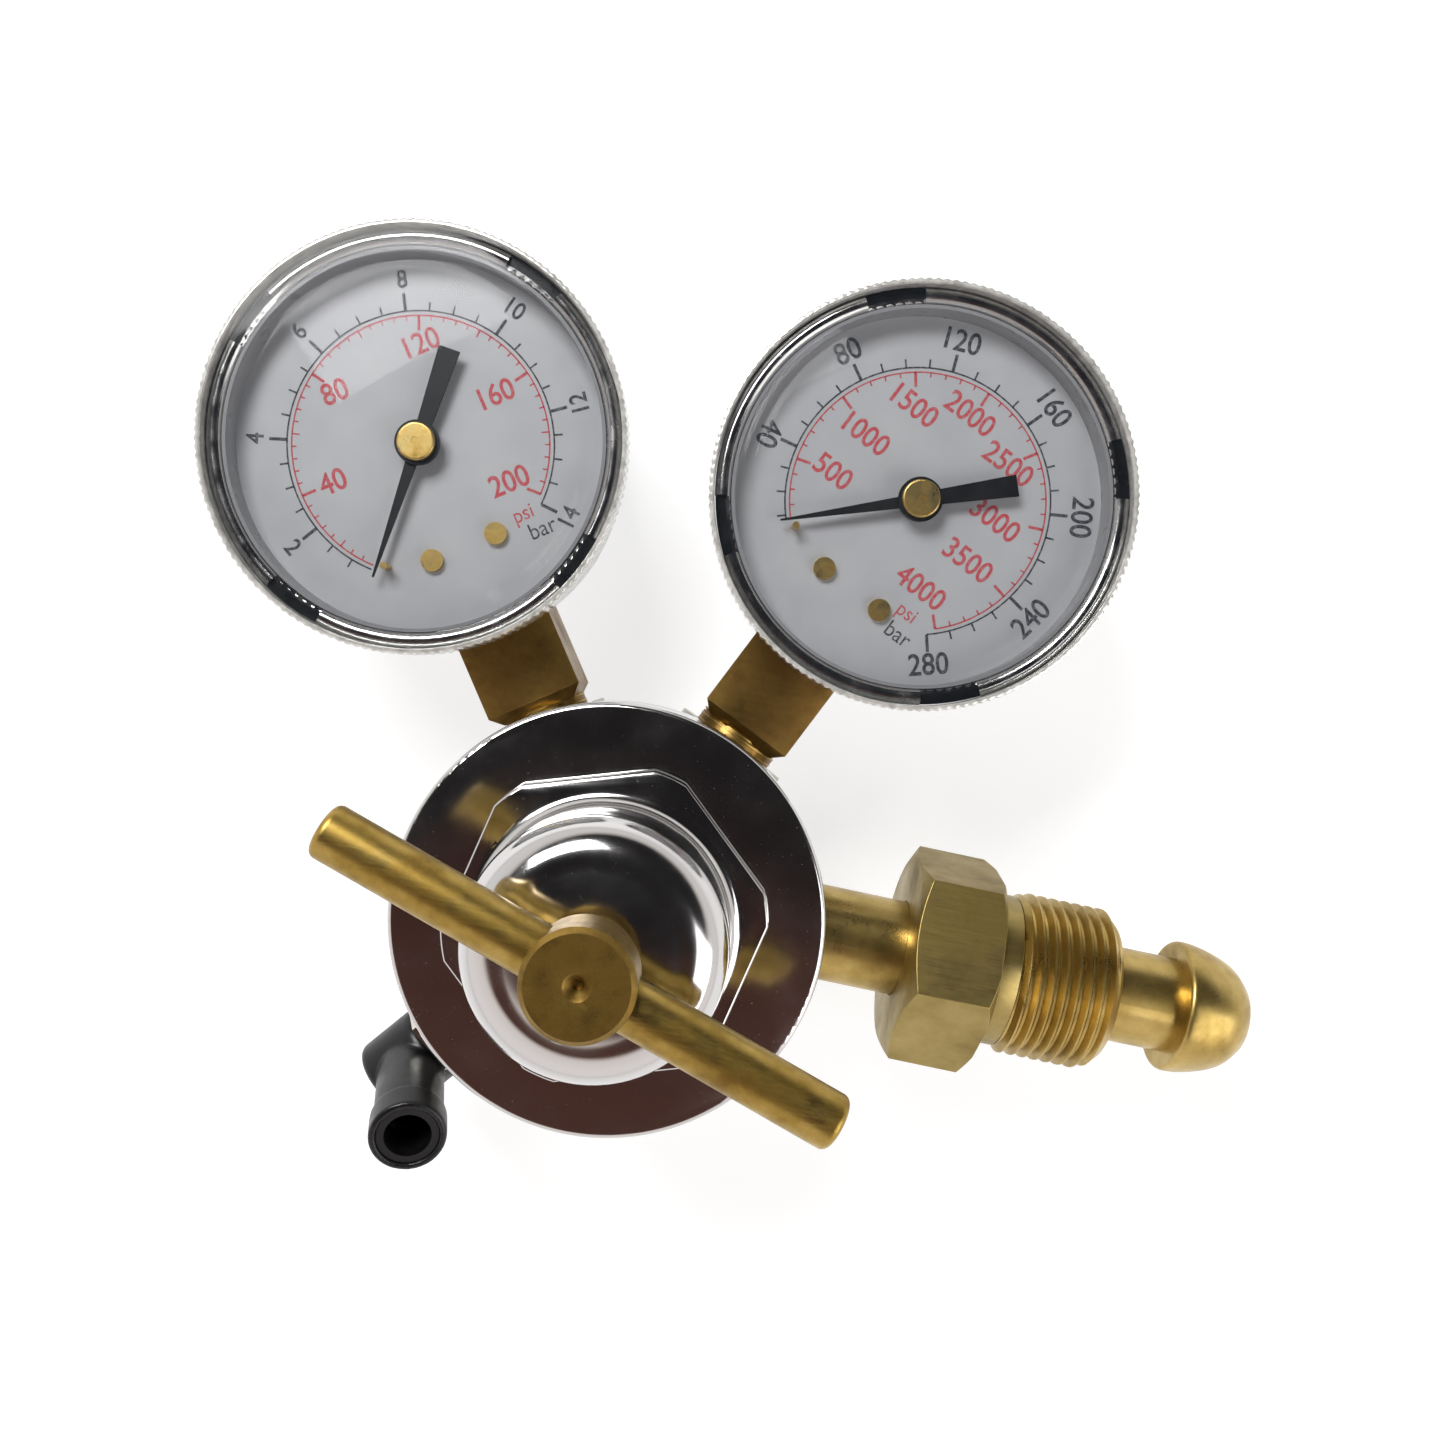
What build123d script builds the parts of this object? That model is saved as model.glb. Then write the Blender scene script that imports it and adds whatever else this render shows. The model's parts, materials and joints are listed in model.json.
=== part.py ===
"""Two-gauge gas pressure regulator: body, bonnet, valve, gauges, cylinder inlet and push-in outlet.

Millimetres. Origin: centre of the body's flat back face. +Z runs up the bonnet to the handle,
+X runs out along the cylinder inlet, and both gauges stand on the +Y side.
"""

from build123d import *
import math
import os

os.makedirs("parts", exist_ok=True)

# ---------------------------------------------------------------- driving sizes
# Body, and the ports that leave its side at one height
BODY_R = 25.0
PORT_Z = 20.0
BODY_H = PORT_Z + 12.0
BACK_CHAMFER = 1.0
BOSS_R = 9.0
BOSS_REACH = BODY_R + 3.0
PORT_THREAD_R = 6.5
THREAD_GAP = 0.05
PORT_DEPTH = 7.0
THREAD_RELIEF = 0.5
GAS_R = 1.6
INLET_ANGLE, CYLINDER_ANGLE, DELIVERY_ANGLE, OUTLET_ANGLE = 0.0, 65.0, 125.0, 231.0
CAVITY_R = BODY_R - 7.0
CAVITY_DEPTH = 4.5
CHAMBER_R, CHAMBER_FLOOR = 6.0, 6.0

# Diaphragm stack
DIAPHRAGM_R = BODY_R - 1.5
DIAPHRAGM_T = 1.2
SLIP_T = 0.8
PLATE_R = CAVITY_R - 1.0
PLATE_T, PLATE_GAP = 2.5, 1.5
SPIGOT_H, SPIGOT_GAP, SPIGOT_CHAMFER = 2.0, 0.5, 0.6

# Bonnet
BONNET_R = BODY_R + 3.97
SKIRT_OVERLAP = 2.0
FLANGE_TOP = BODY_H + 14.35
FLANGE_EDGE_R = 0.8
HEX_FLATS, HEX_H, HEX_TURN = 38.5, 3.85, 78.0
HEX_CORNER_R = HEX_FLATS / 2 + 1.85
TOWER_R = HEX_FLATS / 2 - 3.18
TOWER_ROOT_R, TOWER_SHOULDER_R = 1.8, 5.5
TOWER_TOP = BODY_H + 37.5
DOME_RISE, DOME_MID_DROP, DOME_TOP_DROP = 1.1, 0.55, 0.3
SPRING_BORE_R = TOWER_R - 3.57
PLATE_ROOM = 4.5
ROOF_T = 7.0

# Range spring and its button
RANGE_WIRE_R, RANGE_COILS = 1.25, 5.0
RANGE_MEAN_R = SPRING_BORE_R - 3.5
BUTTON_R = SPRING_BORE_R - 2.0
BUTTON_T, BUTTON_CHAMFER, BUTTON_DROP = 3.5, 0.8, 1.3
END_RELIEF = 0.15

# Adjusting screw and T-handle
SCREW_R = 4.9
SCREW_TRAVEL = 4.5
SCREW_TIP_R = SCREW_R - 1.9
TIP_POCKET, TIP_LEN = 1.2, 1.5
RUNNING_GAP, END_GAP = 0.08, 0.02
BAR_R, BAR_LEN, BAR_ANGLE = 3.175, 63.5, -18.2
BAR_DROP, BAR_END_R = 4.7, 0.9
HEAD_R, HEAD_CHAMFER = 6.25, 0.6
HEAD_H = BAR_DROP + BAR_R
HEAD_TOP = TOWER_TOP + SCREW_TRAVEL + HEAD_H + 0.125
CENTRE_DRILL_R, CENTRE_CONE_R, CENTRE_DEPTH = 0.55, 1.55, 2.2

# Valve
ORIFICE_R = 1.6
LIP_R, LIP_H = 2.1, 0.5
NOZZLE_FLATS, NOZZLE_HEAD_T = 2 * CHAMBER_R + 1.0, 2.5
NOZZLE_THREAD = 4.5
PIN_R, PIN_SEAT = 1.0, 2.5
POPPET_R = CHAMBER_R - 1.8
POPPET_LEN, POPPET_GUIDE, POPPET_SET_BACK = 8.2, 2.0, 0.15
SEAT_R, SEAT_T = POPPET_R - 1.0, 1.2
VALVE_GAP = 0.06
POPPET_WIRE_R, POPPET_COILS = 0.4, 5.0
POPPET_MEAN_R = POPPET_R - 0.7
POPPET_GUIDE_R = POPPET_MEAN_R - POPPET_WIRE_R - 0.4

# Cylinder inlet
NIPPLE_R = 7.15
NUT_FLATS, NUT_TURN, NUT_HEX_LEN = 28.575, 70.0, 12.7
NUT_HEX_START = BOSS_REACH + 15.1
NUT_HEX_END = NUT_HEX_START + NUT_HEX_LEN
NUT_REAR_CHAMFER, NUT_FRONT_CHAMFER = 1.2, 1.2
INLET_THREAD_R, INLET_THREAD_LEN = 12.25, 15.0
NUT_NECK_R, NUT_NECK_LEN = INLET_THREAD_R - 0.85, 3.7
NUT_END = NUT_HEX_END + NUT_NECK_LEN + INLET_THREAD_LEN
NUT_NOSE_CHAMFER = 1.6
NOSE_R = NIPPLE_R + 2.7
NOSE_START = NUT_END + 10.7
NOSE_LEN, NOSE_FLAT = 11.2, 0.43
NOSE_TIP = NOSE_START + NOSE_LEN
FILTER_R, FILTER_LEN, FILTER_SET_BACK = 2.4, 9.0, 1.5

# Outlet: stud, swivelling elbow and push-in tube socket
STUD_FLATS = 13.0
STUD_HEX_START = BOSS_REACH + 1.0
STUD_HEX_END = STUD_HEX_START + 7.1
STEM_R, CROSS_HOLE_R = 4.0, 1.3
ELBOW_LEG_R, ELBOW_EDGE_R = STEM_R + 2.0, 1.2
ELBOW_START = STUD_HEX_END + 0.15
ELBOW_AXIS = ELBOW_START + 5.05
ELBOW_END = ELBOW_AXIS + 5.2
STEM_END = ELBOW_AXIS + 3.0
SEAL_GROOVE, SEAL_GROOVE_W, SEAL_OFFSET, SEAL_EDGE_R = 0.9, 1.4, 1.5, 0.4
SOCKET_TILT = 18.4
TUBE_R, TUBE_GAP, TUBE_STOP = 3.175, 0.075, 8.0
SOCKET_BORE_R = TUBE_R + 1.175
SOCKET_R, SOCKET_COLLAR_R, SOCKET_MOUTH_R = SOCKET_BORE_R + 0.55, SOCKET_BORE_R + 1.0, 0.4
SOCKET_COLLAR_START, SOCKET_END = 16.0, 20.6
TUBE_LAND, TUBE_SEAL_T = 3.0, 1.8
GRAB_T, GRAB_TEETH, GRAB_SLOT = 0.4, 8, 0.5
COLLET_TRAVEL, COLLET_SINK = 1.0, 0.4

# Gauges: distances from the dial's centre and from the port plane
CASE_R, CASE_T = 27.6, 0.8
DELIVERY_REACH, CYLINDER_REACH = CASE_R + 43.4, CASE_R + 44.4
STEM_FLATS, STEM_CHAMFER = 14.3, 1.6
STEM_START = BOSS_REACH + 1.7
STEM_TOP = -13.0
RIM_R, RIM_IN_R = CASE_R + 1.5, CASE_R - CASE_T
RIM_Z, RIM_T = 14.2, 0.7
NOTCH_HALF_ANGLE = 8.5
LENS_WALL = 0.8
LENS_R = RIM_R + 0.1 + LENS_WALL
LENS_FACE, LENS_SKIRT, LENS_T, LENS_EDGE_R = 16.3, 5.0, 1.0, 0.5
LUG_GAP, LUG_START, LUG_SPAN = 0.25, 35.0, 20.0
SEAL_T = 1.6
WINDOW_R, WINDOW_RISE, WINDOW_TAPER, WINDOW_EDGE_R = CASE_R - 2.8, 1.3, 25.0, 0.6
DIAL_R, DIAL_T, DIAL_HOLE_R = CASE_R - 1.3, 0.5, 1.6
DIAL_LAND_H, DIAL_LAND_LEN = 2.5, 8.0
SCREW_SHANK_R, SCREW_HEAD_R, SCREW_LEN, SCREW_ROOM = 0.8, 1.6, 2.6, 0.4
DIAL_SCREW_RADIUS, DIAL_SCREW_ANGLE, DIAL_SCREW_HEAD = 16.5, 17.4, 0.8
CASE_SCREWS, CASE_SCREW_HEAD = ((-4.5, -19.0), (4.5, -19.0)), 1.0
POINTER_TIP, POINTER_TAIL, POINTER_RING_R = CASE_R - 7.6, 14.0, 3.15
POINTER_T, TIP_HALF_W, WAIST_HALF_W, TAIL_END_HALF_W = 0.4, 0.12, 0.95, 1.55
POINTER_LIFT, HUB_R, HUB_T, HUB_EDGE_R, BUSH_WALL, BUSH_DROP = 1.6, 2.7, 0.9, 0.3, 0.5, 0.3
STOP_PIN_R, STOP_RADIUS, STOP_LEAD, STOP_RISE = 0.5, 18.0, 3.6, 1.2
ARBOR_R, PIVOT_R, PIVOT_GAP, SHOULDER_GAP = 0.6, 0.45, 0.03, 0.1
GEAR_MODULE, PINION_TEETH, SECTOR_FULL_TEETH, SECTOR_TEETH = 0.25, 12, 90, 12
SECTOR_THICK, PINION_THICK, PINION_DROP = 1.0, 2.2, 0.6
SECTOR_HUB_R, SECTOR_ARBOR_R, SECTOR_EDGE = 1.6, 0.9, 1.5
TUBE_IN_R = CASE_R - 7.6
TUBE_OUT_R = TUBE_IN_R + 2.0
TUBE_FLAT, TUBE_WALL, TUBE_PORT_R = 6.0, 0.3, 0.5
TUBE_FIXED, TUBE_FREE, TUBE_PLUG = -168.0, 108.0, 6.0

DELIVERY_ZERO, CYLINDER_ZERO = -138.0, -135.3
DELIVERY_NOTCH, CYLINDER_NOTCH = 60.0, 45.0

# ---------------------------------------------------------------- sizes that follow
PLATE_Z = BODY_H + DIAPHRAGM_T
CAVITY_Z = BODY_H - CAVITY_DEPTH
NOZZLE_Z = CAVITY_Z - NOZZLE_THREAD
SEAT_Z = NOZZLE_Z - VALVE_GAP
ROOF_Z = TOWER_TOP - ROOF_T
HEAD_Z = HEAD_TOP - HEAD_H
BAR_Z = HEAD_TOP - BAR_DROP
BUTTON_Z = ROOF_Z - BUTTON_DROP - BUTTON_T
LEDGE_Z = PLATE_Z + SLIP_T
SPRING_FLOOR = PLATE_Z + PLATE_T
SPIGOT_R = RANGE_MEAN_R - RANGE_WIRE_R - SPIGOT_GAP
SHANK_START = BOSS_REACH - PORT_DEPTH + THREAD_RELIEF


def port_plane(angle, reach=0.0, z=PORT_Z):
    """Plane across a port, facing outwards at this distance from the body's axis."""
    out = Vector(math.cos(math.radians(angle)), math.sin(math.radians(angle)), 0)
    return Plane(origin=out * reach + Vector(0, 0, z), x_dir=(0, 0, 1), z_dir=out)


def save(piece, name):
    """Label a finished piece and write it to its own file."""
    piece.part.label = name
    export_step(piece.part, f"parts/{name}.step")


def polar(radius, angle):
    """Point at this radius, angle in degrees clockwise from the dial's top."""
    return (radius * math.sin(math.radians(angle)), radius * math.cos(math.radians(angle)))


# ---------------------------------------------------------------- body
with BuildPart() as regulator_body:
    with BuildSketch():
        Circle(BODY_R)
    extrude(amount=BODY_H)
    chamfer(regulator_body.edges().group_by(Axis.Z)[0], length=BACK_CHAMFER)
    for angle in (INLET_ANGLE, CYLINDER_ANGLE, DELIVERY_ANGLE, OUTLET_ANGLE):
        with BuildSketch(port_plane(angle, CAVITY_R)):
            Circle(BOSS_R)
        extrude(amount=BOSS_REACH - CAVITY_R)
    with BuildSketch(Plane.XY.offset(CAVITY_Z)):
        Circle(CAVITY_R)
    extrude(amount=CAVITY_DEPTH, mode=Mode.SUBTRACT)
    with BuildSketch(Plane.XY.offset(CHAMBER_FLOOR)):
        Circle(CHAMBER_R)
    extrude(amount=CAVITY_Z - CHAMBER_FLOOR, mode=Mode.SUBTRACT)
    for angle in (INLET_ANGLE, CYLINDER_ANGLE, DELIVERY_ANGLE, OUTLET_ANGLE):
        with BuildSketch(port_plane(angle, BOSS_REACH - PORT_DEPTH)):
            Circle(PORT_THREAD_R + THREAD_GAP)
        extrude(amount=PORT_DEPTH, mode=Mode.SUBTRACT)
    for angle in (INLET_ANGLE, CYLINDER_ANGLE):
        with BuildSketch(port_plane(angle, CHAMBER_R - GAS_R)):
            Circle(GAS_R)
        extrude(amount=BOSS_REACH - CHAMBER_R, mode=Mode.SUBTRACT)
    low_pressure_drop = CAVITY_R - 4 * THREAD_RELIEF - 2
    for angle in (DELIVERY_ANGLE, OUTLET_ANGLE):
        with BuildSketch(port_plane(angle, low_pressure_drop)):
            Circle(GAS_R)
        extrude(amount=BOSS_REACH - low_pressure_drop, mode=Mode.SUBTRACT)
        drop_plane = port_plane(angle, low_pressure_drop)
        with BuildSketch(Plane(origin=drop_plane.origin)):
            Circle(GAS_R)
        extrude(amount=CAVITY_Z - PORT_Z + THREAD_GAP, mode=Mode.SUBTRACT)
save(regulator_body, "regulator_body")

# ---------------------------------------------------------------- bonnet
with BuildPart() as bonnet:
    with BuildSketch(Plane.XZ):
        with BuildLine():
            hex_top = FLANGE_TOP + HEX_H
            shoulder_z = TOWER_TOP - DOME_RISE - TOWER_SHOULDER_R
            crown_r = TOWER_R - TOWER_SHOULDER_R
            skirt_z = BODY_H - SKIRT_OVERLAP
            Polyline(
                (SCREW_R + RUNNING_GAP, TOWER_TOP - DOME_TOP_DROP),
                (SCREW_R + RUNNING_GAP, ROOF_Z),
                (SPRING_BORE_R, ROOF_Z),
                (SPRING_BORE_R, LEDGE_Z + PLATE_ROOM),
                (PLATE_R + PLATE_GAP, LEDGE_Z + PLATE_ROOM),
                (PLATE_R + PLATE_GAP, LEDGE_Z),
                (BODY_R + THREAD_GAP, LEDGE_Z),
                (BODY_R + THREAD_GAP, skirt_z),
                (BONNET_R, skirt_z),
                (BONNET_R, FLANGE_TOP),
                (TOWER_R + TOWER_ROOT_R, FLANGE_TOP),
                (TOWER_R + TOWER_ROOT_R, hex_top),
            )
            RadiusArc(
                (TOWER_R + TOWER_ROOT_R, hex_top), (TOWER_R, hex_top + TOWER_ROOT_R), TOWER_ROOT_R
            )
            Line((TOWER_R, hex_top + TOWER_ROOT_R), (TOWER_R, shoulder_z))
            RadiusArc((TOWER_R, shoulder_z), (crown_r, TOWER_TOP - DOME_RISE), -TOWER_SHOULDER_R)
            ThreePointArc(
                (crown_r, TOWER_TOP - DOME_RISE),
                ((crown_r + SCREW_R) / 2, TOWER_TOP - DOME_MID_DROP),
                (SCREW_R + RUNNING_GAP, TOWER_TOP - DOME_TOP_DROP),
            )
        make_face()
    revolve(axis=Axis.Z)
    with BuildSketch(Plane.XY.offset(FLANGE_TOP)):
        RegularPolygon(HEX_FLATS / 2, 6, major_radius=False, rotation=HEX_TURN)
        Circle(HEX_CORNER_R, mode=Mode.INTERSECT)
        Circle(TOWER_R, mode=Mode.SUBTRACT)
    extrude(amount=HEX_H)
    rim = bonnet.edges().filter_by(GeomType.CIRCLE).group_by(SortBy.RADIUS)[-1]
    fillet(rim.sort_by(Axis.Z)[-1], radius=FLANGE_EDGE_R)
save(bonnet, "bonnet")

# ---------------------------------------------------------------- diaphragm stack
with BuildPart() as diaphragm:
    with BuildSketch(Plane.XY.offset(BODY_H)):
        Circle(DIAPHRAGM_R)
    extrude(amount=DIAPHRAGM_T)
save(diaphragm, "diaphragm")

with BuildPart() as slip_ring:
    with BuildSketch(Plane.XY.offset(PLATE_Z)):
        Circle(DIAPHRAGM_R)
        Circle(PLATE_R + PLATE_GAP, mode=Mode.SUBTRACT)
    extrude(amount=SLIP_T)
save(slip_ring, "slip_ring")

with BuildPart() as diaphragm_plate:
    with BuildSketch(Plane.XY.offset(PLATE_Z)):
        Circle(PLATE_R)
    extrude(amount=PLATE_T)
    with BuildSketch(Plane.XY.offset(SPRING_FLOOR)):
        Circle(SPIGOT_R)
    extrude(amount=SPIGOT_H)
    chamfer(diaphragm_plate.edges().group_by(Axis.Z)[-1], length=SPIGOT_CHAMFER)
save(diaphragm_plate, "diaphragm_plate")


def coil_spring(wire_r, mean_r, coils, low, high):
    """Round-wire compression spring between two seats."""
    height = high - low - 2 * wire_r
    pitch = height / coils
    with BuildPart() as spring:
        with BuildLine(Plane.XY.offset(low + wire_r)) as path:
            Helix(pitch=pitch, height=height, radius=mean_r)
        with BuildSketch(Plane(origin=path.line @ 0, z_dir=path.line % 0)):
            Circle(wire_r)
        sweep(path=path.line, is_frenet=True)
    return spring


range_spring = coil_spring(
    RANGE_WIRE_R, RANGE_MEAN_R, RANGE_COILS, SPRING_FLOOR + END_RELIEF, BUTTON_Z - END_RELIEF
)
save(range_spring, "range_spring")

with BuildPart() as spring_button:
    with BuildSketch(Plane.XY.offset(BUTTON_Z)):
        Circle(BUTTON_R)
    extrude(amount=BUTTON_T)
    chamfer(spring_button.edges().group_by(Axis.Z)[-1], length=BUTTON_CHAMFER)
    with BuildSketch(Plane.XY.offset(BUTTON_Z - SPIGOT_H)):
        Circle(SPIGOT_R)
    extrude(amount=SPIGOT_H)
    with BuildSketch(Plane.XY.offset(BUTTON_Z + BUTTON_T - TIP_POCKET)):
        Circle(SCREW_TIP_R + RUNNING_GAP)
    extrude(amount=TIP_POCKET, mode=Mode.SUBTRACT)
save(spring_button, "spring_button")

# ---------------------------------------------------------------- adjusting screw and handle
with BuildPart() as adjusting_screw:
    tip_z = BUTTON_Z + BUTTON_T - TIP_POCKET + END_GAP
    with BuildSketch(Plane.XY.offset(tip_z)):
        Circle(SCREW_TIP_R)
    extrude(amount=TIP_LEN)
    with BuildSketch(Plane.XY.offset(tip_z + TIP_LEN)):
        Circle(SCREW_R)
    extrude(amount=HEAD_Z - tip_z - TIP_LEN)
    with BuildSketch(Plane.XY.offset(HEAD_Z)):
        Circle(HEAD_R)
    extrude(amount=HEAD_H)
    chamfer(adjusting_screw.edges().group_by(Axis.Z)[-1], length=HEAD_CHAMFER)
    with Locations(Plane.XY.offset(HEAD_TOP)):
        CounterSinkHole(CENTRE_DRILL_R, CENTRE_CONE_R, depth=CENTRE_DEPTH, counter_sink_angle=90)
    bar_plane = Plane(
        origin=(0, 0, BAR_Z),
        x_dir=(0, 0, 1),
        z_dir=(math.cos(math.radians(BAR_ANGLE)), math.sin(math.radians(BAR_ANGLE)), 0),
    )
    with BuildSketch(bar_plane):
        Circle(BAR_R)
    extrude(amount=2 * HEAD_R, both=True, mode=Mode.SUBTRACT)
save(adjusting_screw, "adjusting_screw")

with BuildPart() as handle_bar:
    with BuildSketch(bar_plane):
        Circle(BAR_R)
    extrude(amount=BAR_LEN / 2, both=True)
    fillet(handle_bar.edges().filter_by(GeomType.CIRCLE), radius=BAR_END_R)
save(handle_bar, "handle_bar")

# ---------------------------------------------------------------- valve
with BuildPart() as valve_nozzle:
    with BuildSketch(Plane.XY.offset(NOZZLE_Z)):
        Circle(CHAMBER_R)
    extrude(amount=NOZZLE_THREAD)
    with BuildSketch(Plane.XY.offset(CAVITY_Z)):
        RegularPolygon(NOZZLE_FLATS / 2, 6, major_radius=False)
    extrude(amount=NOZZLE_HEAD_T)
    with BuildSketch(Plane.XY.offset(NOZZLE_Z)):
        Circle(CHAMBER_R)
        Circle(LIP_R, mode=Mode.SUBTRACT)
    extrude(amount=LIP_H, mode=Mode.SUBTRACT)
    with BuildSketch(Plane.XY.offset(NOZZLE_Z)):
        Circle(ORIFICE_R)
    extrude(amount=NOZZLE_THREAD + NOZZLE_HEAD_T, mode=Mode.SUBTRACT)
save(valve_nozzle, "valve_nozzle")

with BuildPart() as valve_seat_disc:
    with BuildSketch(Plane.XY.offset(SEAT_Z - SEAT_T)):
        Circle(SEAT_R)
        Circle(PIN_R, mode=Mode.SUBTRACT)
    extrude(amount=SEAT_T)
save(valve_seat_disc, "valve_seat_disc")

with BuildPart() as valve_poppet:
    with BuildSketch(Plane.XY.offset(SEAT_Z - POPPET_LEN)):
        Circle(POPPET_R)
    extrude(amount=POPPET_LEN - POPPET_SET_BACK)
    with BuildSketch(Plane.XY.offset(SEAT_Z - SEAT_T)):
        Circle(SEAT_R)
    extrude(amount=SEAT_T, mode=Mode.SUBTRACT)
    with BuildSketch(Plane.XY.offset(SEAT_Z - SEAT_T - PIN_SEAT)):
        Circle(PIN_R)
    extrude(amount=PIN_SEAT, mode=Mode.SUBTRACT)
    with BuildSketch(Plane.XY.offset(SEAT_Z - POPPET_LEN - POPPET_GUIDE)):
        Circle(POPPET_GUIDE_R)
    extrude(amount=POPPET_GUIDE)
save(valve_poppet, "valve_poppet")

with BuildPart() as valve_pin:
    pin_z = SEAT_Z - SEAT_T - PIN_SEAT
    with BuildSketch(Plane.XY.offset(pin_z)):
        Circle(PIN_R)
    extrude(amount=BODY_H - pin_z - END_GAP)
save(valve_pin, "valve_pin")

poppet_spring = coil_spring(
    POPPET_WIRE_R,
    POPPET_MEAN_R,
    POPPET_COILS,
    CHAMBER_FLOOR + END_RELIEF,
    SEAT_Z - POPPET_LEN - END_RELIEF,
)
save(poppet_spring, "poppet_spring")

# ---------------------------------------------------------------- cylinder inlet
inlet_side = Plane(origin=(0, 0, PORT_Z), x_dir=(1, 0, 0), z_dir=(0, -1, 0))
inlet_axis = Axis((0, 0, PORT_Z), (1, 0, 0))

with BuildPart() as inlet_nipple:
    with BuildSketch(inlet_side):
        with BuildLine():
            Polyline(
                (SHANK_START, 0),
                (SHANK_START, PORT_THREAD_R),
                (BOSS_REACH, PORT_THREAD_R),
                (BOSS_REACH, NIPPLE_R),
                (NOSE_START, NIPPLE_R),
                (NOSE_START, NOSE_R * 0.93),
            )
            shoulder = Spline(
                (NOSE_START, NOSE_R * 0.93),
                (NOSE_START + NOSE_LEN * 0.08, NOSE_R),
                tangents=[(0, 1), (1, 0)],
            )
            Spline(
                shoulder @ 1,
                (NOSE_START + NOSE_LEN * 0.48, NOSE_R * 0.92),
                (NOSE_START + NOSE_LEN * 0.80, NOSE_R * 0.75),
                (NOSE_START + NOSE_LEN * 0.95, NOSE_R * 0.58),
                (NOSE_TIP, NOSE_R * NOSE_FLAT),
                tangents=[(1, 0), (0, -1)],
            )
            Line((NOSE_TIP, NOSE_R * NOSE_FLAT), (NOSE_TIP, 0))
            Line((NOSE_TIP, 0), (SHANK_START, 0))
        make_face()
    revolve(axis=inlet_axis)
    with BuildSketch(port_plane(INLET_ANGLE, BOSS_REACH - PORT_DEPTH)):
        Circle(GAS_R)
    extrude(amount=NOSE_TIP, mode=Mode.SUBTRACT)
    with BuildSketch(port_plane(INLET_ANGLE, NOSE_TIP - FILTER_SET_BACK - FILTER_LEN)):
        Circle(FILTER_R)
    extrude(amount=FILTER_LEN + NOSE_LEN, mode=Mode.SUBTRACT)
save(inlet_nipple, "inlet_nipple")

with BuildPart() as inlet_filter:
    with BuildSketch(port_plane(INLET_ANGLE, NOSE_TIP - FILTER_SET_BACK - FILTER_LEN)):
        Circle(FILTER_R)
    extrude(amount=FILTER_LEN)
save(inlet_filter, "inlet_filter")

with BuildPart() as inlet_nut:
    with BuildSketch(port_plane(INLET_ANGLE, NUT_HEX_START)):
        RegularPolygon(NUT_FLATS / 2, 6, major_radius=False, rotation=NUT_TURN)
    extrude(amount=NUT_HEX_END - NUT_HEX_START)
    with BuildSketch(inlet_side):
        with BuildLine():
            corner_r = NUT_FLATS / math.sqrt(3)
            Polyline(
                (NUT_HEX_START, 0),
                (NUT_HEX_START, corner_r - NUT_REAR_CHAMFER * 2),
                (NUT_HEX_START + NUT_REAR_CHAMFER, corner_r),
                (NUT_HEX_END - NUT_FRONT_CHAMFER, corner_r),
                (NUT_HEX_END, corner_r - NUT_FRONT_CHAMFER * 1.5),
                (NUT_HEX_END, 0),
                close=True,
            )
        make_face()
    revolve(axis=inlet_axis, mode=Mode.INTERSECT)
    with BuildSketch(port_plane(INLET_ANGLE, NUT_HEX_END)):
        Circle(NUT_NECK_R)
    extrude(amount=NUT_NECK_LEN)
    with BuildSketch(port_plane(INLET_ANGLE, NUT_HEX_END + NUT_NECK_LEN)):
        Circle(INLET_THREAD_R)
    extrude(amount=NUT_END - NUT_HEX_END - NUT_NECK_LEN)
    chamfer(inlet_nut.edges().group_by(Axis.X)[-1], length=NUT_NOSE_CHAMFER)
    with BuildSketch(port_plane(INLET_ANGLE, NUT_HEX_START)):
        Circle(NIPPLE_R + RUNNING_GAP)
    extrude(amount=NUT_END, mode=Mode.SUBTRACT)
save(inlet_nut, "inlet_nut")

# ---------------------------------------------------------------- outlet stud and elbow
with BuildPart() as outlet_stud:
    with BuildSketch(port_plane(OUTLET_ANGLE, SHANK_START)):
        Circle(PORT_THREAD_R)
    extrude(amount=STUD_HEX_START - SHANK_START)
    with BuildSketch(port_plane(OUTLET_ANGLE, STUD_HEX_START)):
        RegularPolygon(STUD_FLATS / 2, 6, major_radius=False, rotation=30)
    extrude(amount=STUD_HEX_END - STUD_HEX_START)
    with BuildSketch(port_plane(OUTLET_ANGLE, STUD_HEX_END)):
        Circle(STEM_R)
    extrude(amount=STEM_END - STUD_HEX_END)
    with BuildSketch(port_plane(OUTLET_ANGLE, STUD_HEX_END + SEAL_OFFSET)):
        Circle(STEM_R)
        Circle(STEM_R - SEAL_GROOVE, mode=Mode.SUBTRACT)
    extrude(amount=SEAL_GROOVE_W, mode=Mode.SUBTRACT)
    with BuildSketch(port_plane(OUTLET_ANGLE, BOSS_REACH - PORT_DEPTH)):
        Circle(GAS_R)
    extrude(amount=ELBOW_AXIS - BOSS_REACH + PORT_DEPTH + GAS_R, mode=Mode.SUBTRACT)
    cross_plane = port_plane(OUTLET_ANGLE, ELBOW_AXIS)
    for hole_plane in (
        Plane(origin=cross_plane.origin, z_dir=cross_plane.x_dir),
        Plane(origin=cross_plane.origin, z_dir=cross_plane.y_dir),
    ):
        with BuildSketch(hole_plane):
            Circle(CROSS_HOLE_R)
        extrude(amount=2 * STEM_R, both=True, mode=Mode.SUBTRACT)
save(outlet_stud, "outlet_stud")

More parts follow.
